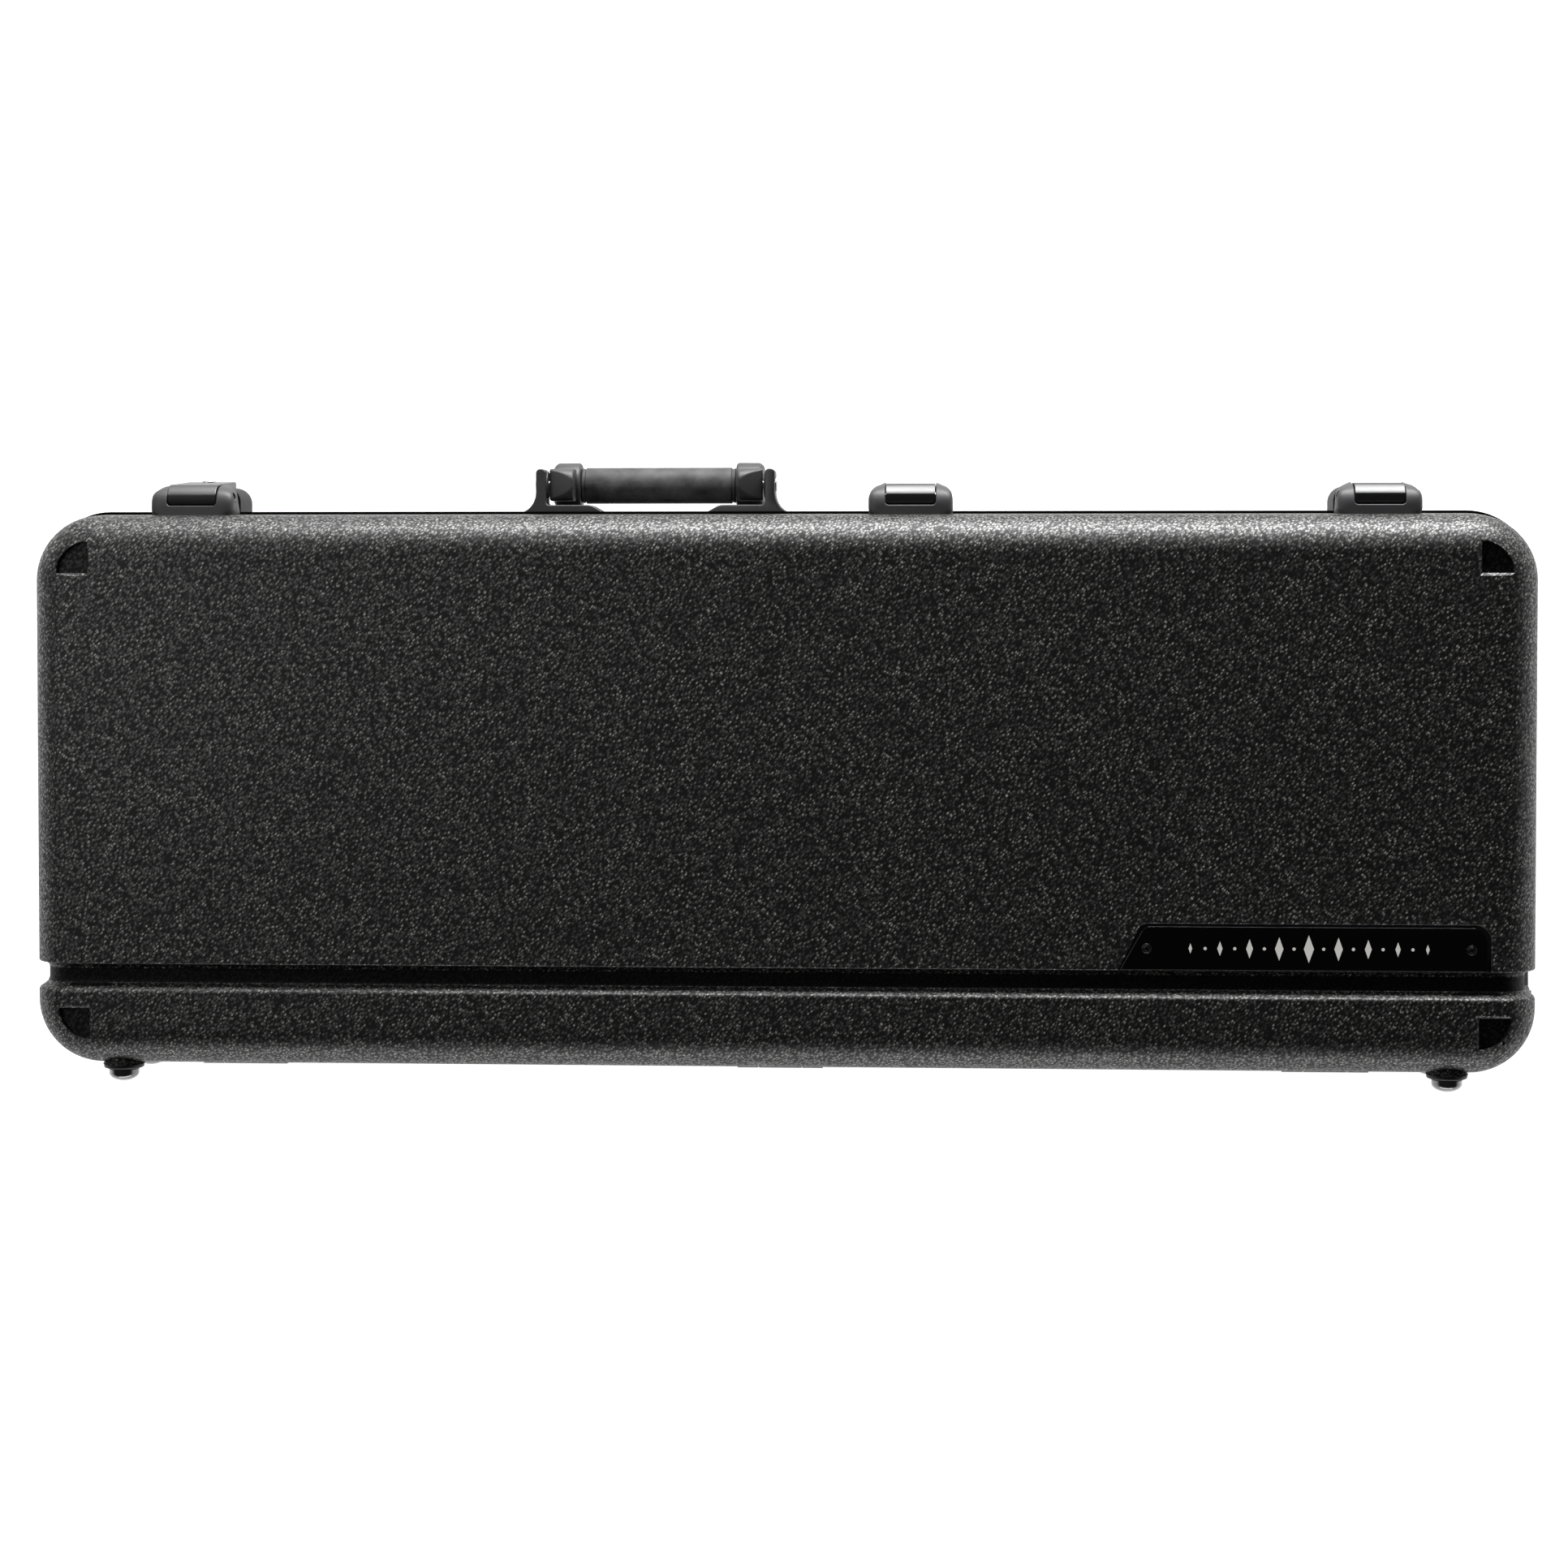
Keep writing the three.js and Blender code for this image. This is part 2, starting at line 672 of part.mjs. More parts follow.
// The lever in side view: a barrel about the pin and a tail over the keeper
function latchLever(hasLock) {
  const tailTop = hasLock ? lockedTailTop : leverTailTop;
  const front = leverPinFromSeam + leverBarrelRadius;
  const frontRound = leverBarrelRadius * leverBarrelRoundShare;
  const heel = leverPinFromSeam - leverHeel;
  const body = sidePrism(outline([
    [-leverTail, tailTop, leverTailRound],
    [front, leverTop, frontRound],
    [front, leverPinHeight - leverBarrelRadius, frontRound],
    [heel, leverPinHeight - leverBarrelRadius, leverHeelRound],
    [heel - leverHeel, leverUnder, leverHeelRound],
    [-leverTail, leverUnder, leverTailRound],
  ]), leverWidth, leverEdge);
  const bore = barAlongX(
    leverPinRadius + leverPinClearance, leverWidth + cutOverrun, [0, leverPinHeight, leverPinFromSeam],
  );
  const lockBore = new THREE.CylinderGeometry(
    lockRadius + lockClearance, lockRadius + lockClearance, 2 * leverTop, rodSides,
  ).translate(0, leverTop, -lockFromSeam);
  return cutAll(body, hasLock ? [bore, solid(lockBore)] : [bore]);
}

// The steel hook under the lever, whose toe reaches behind the keeper's bar
function latchHook() {
  const top = leverUnder - fitGap;
  const toe = -catchBarFromSeam - catchBarDepth - catchClearance;
  return sidePrism([
    [hookFront, top], [toe - hookThickness, top], [toe - hookThickness, hookTip], [toe, hookTip],
    [toe, top - hookThickness], [hookFront, top - hookThickness],
  ].map(([z, y]) => new THREE.Vector2(z, y)), hookWidth);
}

// The key cylinder in the lever, with its slot
function lockCylinder() {
  const top = lockedTailTop + lockProud;
  const low = leverUnder + fitGap;
  const barrel = new THREE.CylinderGeometry(lockRadius, lockRadius, top - low, rodSides);
  const slot = block(
    [-keySlotWidth / 2, top - keySlotDepth, -keySlotLength / 2],
    [keySlotWidth / 2, top + cutOverrun, keySlotLength / 2],
  );
  return solid(barrel.translate(0, (top + low) / 2, 0)).subtract(slot);
}

// Places along the handle from its middle
const linkInner = gripLength / 2 + fitGap;
const collarOuter = linkInner + collarLength;
const earInner = collarOuter + linkSideClearance;
const earOuter = earInner + earThickness;

// A handle bracket: the ear outside the link, and the foot that runs under the collar
function handleBracket() {
  const toe = earOuter + bracketFlare;
  const innerEnd = earInner - bracketInnerReach;
  const body = solid(prism(outline([
    [innerEnd, -wall + latchEdge], [toe, -wall + latchEdge], [toe, bracketToeHeight],
    [earOuter, bracketToeHeight, bracketFlare - bracketEdge], [earOuter, earHeight, earRound],
    [earInner, earHeight, earRound], [earInner, bracketBaseHeight],
    [innerEnd + bracketInnerSlope, bracketBaseHeight, bracketInnerSlope / 2], [innerEnd, bracketToeHeight],
  ]), pivotFromSeam - bracketDepth / 2, pivotFromSeam + bracketDepth / 2, bracketEdge));
  const boreAt = [(earInner + earOuter) / 2, pivotHeight, pivotFromSeam];
  const bore = barAlongX(pivotPinRadius + pivotPinClearance, 2 * earThickness, boreAt);
  return cutAll(body, [bore, wallBehind(baseDepth - edgeRadius)]);
}

// A headed pin through the ear into the link, pointing along -Y
function pivotPin() {
  const reach = earThickness + linkSideClearance + coreSocketDepth;
  return turned([
    [0, -reach], [pivotPinRadius, -reach], [pivotPinRadius, fitGap], [pivotPinHeadRadius, fitGap],
    [pivotPinHeadRadius, fitGap + pivotPinHeadHeight / 2], [pivotPinRadius, fitGap + pivotPinHeadHeight],
    [0, fitGap + pivotPinHeadHeight],
  ]);
}

// A handle arm: the collar round the grip's end, and the link whose round eye has a slanted facet
function handleArm() {
  const gripZ = pivotFromSeam + handleReach;
  const collar = solid(new THREE.LatheGeometry([
    [0, linkInner], [collarRadius - collarInnerRound, linkInner],
    [collarRadius, linkInner + collarInnerRound],
    [collarRadius, collarOuter - collarOuterRound], [collarRadius - collarOuterRound, collarOuter],
    [0, collarOuter],
  ].map(([radius, along]) => new THREE.Vector2(radius, along)), 2 * rodSides)
    .rotateZ(-quarterTurn).translate(0, pivotHeight, gripZ));
  const [front, inner] = [pivotFromSeam - linkHalfHeight, collarOuter - linkWidth];
  const eyeRound = linkHalfHeight * linkEyeRoundShare;
  const link = sidePrism(outline([
    [front, -linkHalfHeight, eyeRound], [gripZ, -linkHalfHeight], [gripZ, linkHalfHeight],
    [front, linkHalfHeight, eyeRound],
  ]), linkWidth, linkEdge).translate([collarOuter - linkWidth / 2, pivotHeight, 0]);
  const slope = linkFacetDepth / linkWidth;
  const facet = solid(prism([
    [inner, front], [collarOuter + cutOverrun, front + slope * (linkWidth + cutOverrun)],
    [collarOuter + cutOverrun, front - cutOverrun], [inner, front - cutOverrun],
  ].map(([x, z]) => new THREE.Vector2(x, z)), -2 * linkHalfHeight, 2 * linkHalfHeight)
    .rotateX(quarterTurn).translate(0, pivotHeight, 0));
  const [pinBore, coreBore] = [
    [pivotPinRadius + pivotPinClearance, collarOuter, pivotFromSeam],
    [gripCoreRadius + fitGap, linkInner, gripZ],
  ].map(([radius, x, z]) => barAlongX(radius, 2 * (coreSocketDepth + fitGap), [x, pivotHeight, z]));
  return cutAll(collar.add(link), [facet, pinBore, coreBore]);
}

const gripBar = (radius, length) => barAlongX(radius, length, [0, pivotHeight, pivotFromSeam + handleReach]);
const handleCore = () => gripBar(gripCoreRadius, 2 * (linkInner + coreSocketDepth));

function handleGrip() {
  const length = gripLength;
  const sleeve = new THREE.CylinderGeometry(gripRadius, gripRadius, length, 2 * rodSides);
  return solid(sleeve.rotateZ(quarterTurn).translate(0, pivotHeight, pivotFromSeam + handleReach))
    .subtract(gripBar(gripCoreRadius + fitGap, length + cutOverrun));
}

// The steel plate inside the wall behind a bracket, level with the bracket's foot
const backingFrom = earInner - bracketInnerReach;
const backingTo = earOuter + bracketFlare;
const backingLow = rimHeight + 2 * fitGap;
const backingY = -wall - fitGap;

function backingPlate(margin) {
  const drawnIn = draftAt(baseDepth, backingLow + backingHeight);
  return solid(prism(outline([
    [backingFrom - margin, backingLow - margin, backingRound],
    [backingTo + margin, backingLow - margin, backingRound],
    [backingTo + margin, backingLow + backingHeight + margin, backingRound],
    [backingFrom - margin, backingLow + backingHeight + margin, backingRound],
  ]), 0, backingThickness + 2 * margin + drawnIn)
    .rotateX(quarterTurn).translate(0, backingY + margin - drawnIn, 0));
}

// The foam's place in a shell between two levels from the rim plane
function foamForm(depth, hingeSide, low, high) {
  const layer = block([-halfLength, -halfWidth, low], [halfLength, halfWidth, high]);
  return pressedForm(depth, hingeSide, wall + fitGap).intersect(layer);
}

const bodyCavityEnd = halfLength - bodyCavityFromEnd;
const neckJoint = bodyCavityEnd - bodyCavityLength;
const headstockEnd = -halfLength + headstockFromEnd;

// The guitar's body in plan, rounded at the bouts and drawn in at the waist
function bodyCavityOutline() {
  const half = new THREE.SplineCurve(bodyCavityShares.map(([along, across]) => new THREE.Vector2(
    bodyCavityEnd - bodyCavityLength * along,
    bodyCavityHalfWidth * across,
  ))).getPoints(cavitySteps);
  const mirrored = half.slice(1, -1).reverse().map((point) => new THREE.Vector2(point.x, -point.y));
  return [...half, ...mirrored];
}

const rectangle = (x0, y0, x1, y1, round) => outline(
  [[x0, y0, round], [x1, y0, round], [x1, y1, round], [x0, y1, round]],
);
const wellPlan = (side) => rectangle(
  neckJoint - wellFromBody - wellLength,
  side > 0 ? neckHalfWidth + wellFromNeck : -neckHalfWidth - wellFromNeck - wellWidth,
  neckJoint - wellFromBody,
  side > 0 ? neckHalfWidth + wellFromNeck + wellWidth : -neckHalfWidth - wellFromNeck,
  wellRound,
);

const foamTop = rimHeight + fitGap;
const foamFloor = baseDepth - wall - fitGap - floorPadThickness;

const foamSplit = neckJoint - wellFromBody / 2;

const headstockPlan = rectangle(
  headstockEnd, -headstockHalfWidth, headstockEnd + headstockLength, headstockHalfWidth, headstockRound,
);
const neckPlan = rectangle(
  headstockEnd + headstockLength / 2, -neckHalfWidth, neckJoint + wellFromBody, neckHalfWidth, neckRound,
);

// The foam blocks of the base: one round the guitar's body, and one each side of its neck
function foamBlock(from, to) {
  const through = (points) => solid(prism(points, foamTop - cutOverrun, foamFloor + cutOverrun));
  const plates = [-1, 1].map((side) => (
    backingPlate(fitGap).scale([side, 1, 1]).translate([handleFromCentre, halfWidth, 0])
  ));
  const stretch = block([...from, 0], [...to, baseDepth]);
  return cutAll(foamForm(baseDepth, -1, foamTop, foamFloor - fitGap).intersect(stretch), [
    through(bodyCavityOutline()),
    through(headstockPlan),
    through(neckPlan),
    through(wellPlan(1)),
    through(wellPlan(-1)),
    ...plates,
  ]);
}

// The lid's foam, with a skirt that lines the side walls down to the rim frame
function lidFoam() {
  const low = lidDepth - wall - fitGap - lidFoamThickness;
  const hollow = loft([foamTop - cutOverrun, low].map((level) => (
    planRing(wall + fitGap + lidSkirtThickness, level)
  )));
  return foamForm(lidDepth, 1, foamTop, lidDepth).subtract(hollow);
}

// The block that carries the neck, with its saddle, standing on the floor pad
function neckCradle() {
  const across = neckHalfWidth - cradleSideGap;
  const foot = foamFloor - fitGap;
  const top = foot - cradleHeight;
  return sidePrism(outline([
    [foot, -across], [foot, across], [top, across, saddleEdge], [top, saddleHalfWidth, saddleEdge],
    [top + saddleDepth, saddleHalfWidth, saddleRound], [top + saddleDepth, -saddleHalfWidth, saddleRound],
    [top, -saddleHalfWidth, saddleEdge], [top, -across, saddleEdge],
  ]), cradleLength);
}

// Assembly
const place = (object, x, y, z) => {
  object.position.set(x, y, z);
  return object;
};

// Base group: Z runs from the seam down into the base shell, and Y is turned with it
const base = place(new THREE.Group(), 0, 0, baseDepth);
base.rotation.x = Math.PI;
base.add(piece('base_shell', shell(baseDepth, -1), shellPlastic));
base.add(piece('base_rim', tongueRim(), rimPlastic));
base.add(piece('floor_pad', foamForm(baseDepth, -1, foamFloor, baseDepth), liningPlush));
base.add(piece('body_foam', foamBlock([foamSplit, -halfWidth], [halfLength, halfWidth]), liningPlush));
for (const [side, sideY] of [['hinge_side', -1], ['handle_side', 1]]) {
  const [near, far] = [sideY * halfWidth, sideY * (fitGap / 2)].sort((a, b) => a - b);
  const half = foamBlock([-halfLength, near], [foamSplit - fitGap, far]);
  base.add(piece(`neck_foam_${side}`, half, liningPlush));
}
base.add(place(piece('neck_cradle', neckCradle(), liningPlush), neckJoint - cradleFromBody, 0, 0));

// Lid group: Z runs from the lid's rim plane up to its panel
const lid = place(new THREE.Group(), 0, 0, baseDepth + fitGap);
lid.add(piece('lid_shell', lidShell(), shellPlastic));
lid.add(piece('lid_rim', grooveRim(), rimPlastic));
lid.add(piece('lid_foam', lidFoam(), liningPlush));
lid.add(piece('nameplate', nameplate(), plateGloss));
for (const [side, x] of Object.entries(plateScrewPlaces)) {
  const screw = place(piece(`nameplate_screw_${side}`, plateScrew(), blackSteel), x, plateScrewY, plateTop);
  screw.rotation.x = quarterTurn;
  lid.add(screw);
}

// Feet, two on each shell
for (const [owner, group, depth, hingeSide] of [['base', base, baseDepth, -1], ['lid', lid, lidDepth, 1]]) {
  for (const [end, sideX] of [['body_end', 1], ['neck_end', -1]]) {
    const foot = place(
      new THREE.Group(), sideX * (halfLength - footFromEnd), hingeSide * halfWidth, depth - footFromPanel,
    );
    if (hingeSide < 0) foot.rotation.x = Math.PI;
    foot.add(piece(`foot_cup_${owner}_${end}`, footCup(), rimPlastic));
    foot.add(piece(`foot_pad_${owner}_${end}`, footPad(), footRubber));
    group.add(foot);
  }
}

// Hinges, with their axes in the seam just outside the wall
const hinges = Object.entries(hingePlaces).map(([name, x]) => {
  const hinge = place(new THREE.Group(), x, halfWidth, baseDepth + fitGap / 2);
  const lidLeaf = piece(`hinge_lid_leaf_${name}`, hingeLeaf(lidKnuckles), blackSteel);
  const baseLeaf = piece(
    `hinge_base_leaf_${name}`, hingeLeaf(baseKnuckles).scale([1, 1, -1]), blackSteel,
  );
  const pinLength = hingeWidth + 2 * hingePinHead;
  const pin = piece(`hinge_pin_${name}`, barAlongX(hingePinRadius, pinLength, [0, hingeOffset, 0]), steel);
  hinge.add(lidLeaf, baseLeaf, pin);
  return hinge;
});

// Handle group: Y runs out of the front wall, Z from the seam down the base, and X with the case
const handle = place(new THREE.Group(), handleFromCentre, -halfWidth, baseDepth);
handle.rotation.x = Math.PI;
handle.add(piece('handle_core', handleCore(), steel));
handle.add(piece('handle_grip', handleGrip(), handleRubber));
for (const [end, sideX] of [['body_end', 1], ['neck_end', -1]]) {
  const mirrored = (body) => body.scale([sideX, 1, 1]);
  handle.add(piece(`handle_arm_${end}`, mirrored(handleArm()), handlePlastic));
  handle.add(piece(`handle_bracket_${end}`, mirrored(handleBracket()), handlePlastic));
  handle.add(piece(`handle_backing_plate_${end}`, mirrored(backingPlate(0)), steel));
  const pin = place(
    piece(`handle_pin_${end}`, pivotPin(), steel), sideX * earOuter, pivotHeight, pivotFromSeam,
  );
  pin.rotation.z = -sideX * quarterTurn;
  handle.add(pin);
}

// Latches: Y runs out of the front wall and Z up from the seam
const latches = Object.entries(latchPlaces).map(([name, x]) => {
  const latch = place(new THREE.Group(), x, -halfWidth, baseDepth);
  latch.rotation.z = Math.PI;
  const hasLock = name === lockedLatch;
  const pinLength = latchWidth - 2 * leverPinInset;
  const pinBody = barAlongX(leverPinRadius, pinLength, [0, leverPinHeight, leverPinFromSeam]);
  latch.add(
    piece(`latch_housing_${name}`, latchHousing(), latchPlastic),
    piece(`latch_keeper_${name}`, latchKeeper().scale([1, 1, -1]), latchPlastic),
    piece(`latch_pin_${name}`, pinBody, steel),
    piece(`latch_lever_${name}`, latchLever(hasLock), leverPlastic),
    piece(`latch_hook_${name}`, latchHook(), steel),
  );
  if (hasLock) latch.add(place(piece('lock_cylinder', lockCylinder(), steel), 0, 0, -lockFromSeam));
  return latch;
});

const guitarCase = new THREE.Group();
guitarCase.add(base, lid, handle, ...hinges, ...latches);

export default guitarCase;
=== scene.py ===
"""The looks of a hard moulded guitar case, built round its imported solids. Lengths are in metres."""

import math
from contextlib import contextmanager

import bmesh
import bpy
from mathutils import Matrix, Vector


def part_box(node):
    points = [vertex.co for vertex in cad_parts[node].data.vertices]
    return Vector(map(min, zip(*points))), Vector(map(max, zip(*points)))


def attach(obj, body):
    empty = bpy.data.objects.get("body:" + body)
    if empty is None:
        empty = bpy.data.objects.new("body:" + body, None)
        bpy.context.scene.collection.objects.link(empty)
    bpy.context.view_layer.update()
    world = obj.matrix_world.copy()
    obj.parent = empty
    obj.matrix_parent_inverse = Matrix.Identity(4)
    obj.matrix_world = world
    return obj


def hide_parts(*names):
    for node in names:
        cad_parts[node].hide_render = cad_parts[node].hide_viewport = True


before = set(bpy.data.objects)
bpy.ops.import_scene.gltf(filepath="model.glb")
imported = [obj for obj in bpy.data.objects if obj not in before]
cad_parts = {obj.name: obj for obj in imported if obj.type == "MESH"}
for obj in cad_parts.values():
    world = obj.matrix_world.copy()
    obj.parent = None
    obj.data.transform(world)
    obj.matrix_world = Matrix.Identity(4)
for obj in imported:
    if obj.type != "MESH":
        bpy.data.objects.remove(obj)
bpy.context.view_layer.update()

MM = 0.001
TINY = 0.02 * MM
OVERRUN = 5 * MM
FIT = 0.3 * MM
LEVEL = 0.9
PLACES = ("body_end", "middle", "neck_end")

# Shell sizes, with the outside taken from the solids
BASE_LOW, BASE_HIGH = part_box("base_shell")
LID_LOW, LID_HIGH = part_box("lid_shell")
HALF_LENGTH, HALF_WIDTH = LID_HIGH.x, LID_HIGH.y
HALF_DEPTH = LID_HIGH.z / 2
SEAM = BASE_HIGH.z
WALL = 3.5 * MM
DRAFT = 1.2 * MM
CORNER_ROUND = 45 * MM
EDGE_ROUND = 26 * MM
CORNER_STEPS = 18
EDGE_STEPS = 12

# Channel pressed along the hinge side and round the ends
CHANNEL_NEAR = HALF_WIDTH - 54 * MM
CHANNEL_FAR = HALF_WIDTH - 73 * MM
CHANNEL_NEAR_SLOPE = 5.2 * MM
CHANNEL_FAR_SLOPE = 1.6 * MM
CHANNEL_DEPTH = 7.2 * MM
CHANNEL_RIM_DEPTH = 1.8 * MM
RAMP_LOW = 10.4 * MM
RAMP_LENGTH = 8 * MM
NEAR_LIP_ROUND = 1.5 * MM
FAR_LIP_ROUND = 1.0 * MM
NEAR_FLOOR_ROUND = 1.2 * MM
FAR_FLOOR_ROUND = 3 * MM

# Quarter round pockets in the corners of both panels
POCKET_FROM_END = 42.5 * MM
POCKET_FROM_EDGE = 41.5 * MM
POCKET_RADIUS = 21.5 * MM
POCKET_X, POCKET_Y = HALF_LENGTH - POCKET_FROM_END, HALF_WIDTH - POCKET_FROM_EDGE
POCKET_DEPTH = 6 * MM
POCKET_BREAK = 2 * MM

# Raised seats of the feet
BOSS_LENGTH = 15 * MM
BOSS_TIP = 3 * MM
BOSS_RADIUS = 14.6 * MM

SHELL_EDGE = 0.4 * MM
SHELL_SLACK = 0.4 * MM
BEAD_PROUD = 1.9 * MM
BEAD_WIDTH = 3.6 * MM
BEAD_HEIGHT = 1.3 * MM

RIM_INSET = WALL + FIT
RIM_WIDTH = 8 * MM
RIM_HEIGHT = 8 * MM
TONGUE_INSET = RIM_INSET + 2.4 * MM
TONGUE_WIDTH = 2.4 * MM
TONGUE_HEIGHT = 4 * MM
TONGUE_SIDE_GAP = 1.2 * MM
TONGUE_TOP_GAP = 0.6 * MM


# Modelling helpers
def activate(piece):
    bpy.ops.object.select_all(action="DESELECT")
    piece.select_set(True)
    bpy.context.view_layer.objects.active = piece


@contextmanager
def editing(piece):
    activate(piece)
    bpy.ops.object.mode_set(mode="EDIT")
    yield
    bpy.ops.object.mode_set(mode="OBJECT")


def settle(piece, name):
    """Puts a new piece's place, turn and size into its mesh."""
    piece.name = name
    activate(piece)
    bpy.ops.object.transform_apply(location=True, rotation=True, scale=True)
    return piece


def cuboid(name, low, high):
    low, high = Vector(low), Vector(high)
    bpy.ops.mesh.primitive_cube_add(size=1, location=(low + high) / 2)
    piece = bpy.context.object
    piece.scale = high - low
    return settle(piece, name)


def rod(name, start, end, radius, end_radius=None, sides=48):
    """A round bar between two points, tapered if its end has a radius of its own."""
    start, end = Vector(start), Vector(end)
    bpy.ops.mesh.primitive_cone_add(
        vertices=sides,
        radius1=radius,
        radius2=radius if end_radius is None else end_radius,
        depth=(end - start).length,
        location=(start + end) / 2,
        rotation=(end - start).to_track_quat("Z", "Y").to_euler(),
    )
    return settle(bpy.context.object, name)


def axle(name, start, end, centre, radius, sides=48):
    """A round bar along X through a centre."""
    return rod(name, (start, centre.y, centre.z), (end, centre.y, centre.z), radius, sides=sides)


def middle_of(node):
    low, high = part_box(node)
    return (low + high) / 2


def pick(piece, kind, test):
    """Selects the VERT, EDGE or FACE elements that pass a test, in edit mode."""
    bpy.ops.mesh.select_mode(type=kind)
    bpy.ops.mesh.select_all(action="DESELECT")
    mesh = bmesh.from_edit_mesh(piece.data)
    elements = {"VERT": mesh.verts, "EDGE": mesh.edges, "FACE": mesh.faces}[kind]
    for element in elements:
        if test(element):
            element.select_set(True)
    mesh.select_flush_mode()
    bmesh.update_edit_mesh(piece.data)


def at_level(axis, level, slack=TINY):
    """A test for edges whose both ends lie at a level along an axis."""
    return lambda edge: all(abs(end.co[axis] - level) < slack for end in edge.verts)


def along(axis):
    """A test for edges that run along an axis."""
    def test(edge):
        run = (edge.verts[1].co - edge.verts[0].co).normalized()
        return abs(run[axis]) > LEVEL
    return test


def round_off(radius, segments, affect="EDGES"):
    bpy.ops.mesh.bevel(
        offset_type="OFFSET", offset=radius, segments=segments, profile=0.5, affect=affect,
        clamp_overlap=False,
    )


def slice_through(point, normal, **settings):
    bpy.ops.mesh.select_all(action="SELECT")
    bpy.ops.mesh.bisect(plane_co=point, plane_no=normal, **settings)


def cut_away(piece, point, normal):
    """Takes off what lies beyond a plane and closes the cut."""
    with editing(piece):
        slice_through(point, normal, use_fill=True, clear_outer=True)


def face_outwards():
    bpy.ops.mesh.select_all(action="SELECT")
    bpy.ops.mesh.normals_make_consistent(inside=False)


def apply_modifier(piece, kind, **settings):
    modifier = piece.modifiers.new("shaping", kind)
    for setting, value in settings.items():
        setattr(modifier, setting, value)
    activate(piece)
    bpy.ops.object.modifier_apply(modifier=modifier.name)


def combine(piece, operation, *tools):
    """Joins or cuts a piece with tools, which are used up."""
    for tool in tools:
        apply_modifier(piece, "BOOLEAN", operation=operation, solver="EXACT", object=tool)
        bpy.data.objects.remove(tool)
    return piece


def cut(piece, *tools):
    return combine(piece, "DIFFERENCE", *tools)


def join(piece, *tools):
    return combine(piece, "UNION", *tools)


def tidy_faces(piece, slack=TINY):
    """Merges what a cut has left doubled or split on flat faces."""
    with editing(piece):
        bpy.ops.mesh.select_all(action="SELECT")
        bpy.ops.mesh.remove_doubles(threshold=slack)
        bpy.ops.mesh.dissolve_limited(angle_limit=math.radians(0.5))


def smooth(piece, angle=32):
    activate(piece)
    bpy.ops.object.shade_smooth_by_angle(angle=math.radians(angle))
    return piece


def even_shading(piece):
    apply_modifier(piece, "WEIGHTED_NORMAL", keep_sharp=True, weight=80)


def soften(piece, width, segments=3, angle=32, slack=TINY):
    """Rounds the sharp edges of a finished piece and evens its shading."""
    tidy_faces(piece, slack)
    apply_modifier(
        piece, "BEVEL", width=width, segments=segments, limit_method="ANGLE",
        angle_limit=math.radians(angle), use_clamp_overlap=False,
    )
    smooth(piece, angle)
    even_shading(piece)
    return piece


def twin(piece, name, shift=(0, 0, 0), mirror_x=None, mirror_z=None):
    """A copy with its own mesh, moved, or mirrored about a level of X or Z."""
    copied = bpy.data.objects.new(name, piece.data.copy())
    bpy.context.collection.objects.link(copied)
    copied.location = shift
    if mirror_x is not None:
        copied.scale.x = -1
        copied.location.x = 2 * mirror_x
    if mirror_z is not None:
        copied.scale.z = -1
        copied.location.z = 2 * mirror_z
    settle(copied, name)
    if mirror_x is not None or mirror_z is not None:
        with editing(copied):
            face_outwards()
    return copied


def turned(name, base, axis, profile, sides=56):
    """A turned piece: a disc at its base, drawn out ring by ring through (radius, height) steps."""
    base, axis = Vector(base), Vector(axis).normalized()
    radius, height = profile[0]
    bpy.ops.mesh.primitive_circle_add(
        vertices=sides, radius=radius, fill_type="NGON", location=base + axis * height,
        rotation=axis.to_track_quat("Z", "Y").to_euler(),
    )
    piece = settle(bpy.context.object, name)
    with editing(piece):
        bpy.ops.mesh.select_mode(type="FACE")
        bpy.ops.mesh.select_all(action="SELECT")
        for next_radius, next_height in profile[1:]:
            bpy.ops.mesh.extrude_region_move(
                TRANSFORM_OT_translate={"value": axis * (next_height - height)},
            )
            bpy.ops.transform.resize(
                value=(next_radius / radius,) * 3, center_override=base + axis * next_height,
            )
            radius, height = next_radius, next_height
        face_outwards()
    return piece


def dome(radius, low, high, steps=8, tip_share=0.12):
    """Profile steps of a dome that closes a turned piece."""
    turns = [step / steps * math.pi / 2 for step in range(1, steps)]
    rings = [(radius * math.cos(turn), low + (high - low) * math.sin(turn)) for turn in turns]
    return rings + [(radius * tip_share, high)]


def drawn(name, points, reach):
    """A prism: its outline drawn point by point, filled and drawn out."""
    bpy.ops.mesh.primitive_plane_add(size=1, location=points[0])
    piece = settle(bpy.context.object, name)
    with editing(piece):
        bpy.ops.mesh.select_mode(type="VERT")
        bpy.ops.mesh.select_all(action="SELECT")
        bpy.ops.mesh.merge(type="CENTER")
        for last, point in zip(points, points[1:]):
            bpy.ops.mesh.extrude_vertices_move(
                TRANSFORM_OT_translate={"value": Vector(point) - Vector(last)},
            )
        bpy.ops.mesh.select_all(action="SELECT")
        bpy.ops.mesh.edge_face_add()
        bpy.ops.mesh.extrude_region_move(TRANSFORM_OT_translate={"value": reach})
        face_outwards()
    return piece


def arc(centre, across, up, start, end, steps):
    """Points of part of an ellipse, between two turns in degrees."""
    turns = [math.radians(start + (end - start) * step / steps) for step in range(steps + 1)]
    return [(centre[0] + across * math.cos(turn), centre[1] + up * math.sin(turn)) for turn in turns]


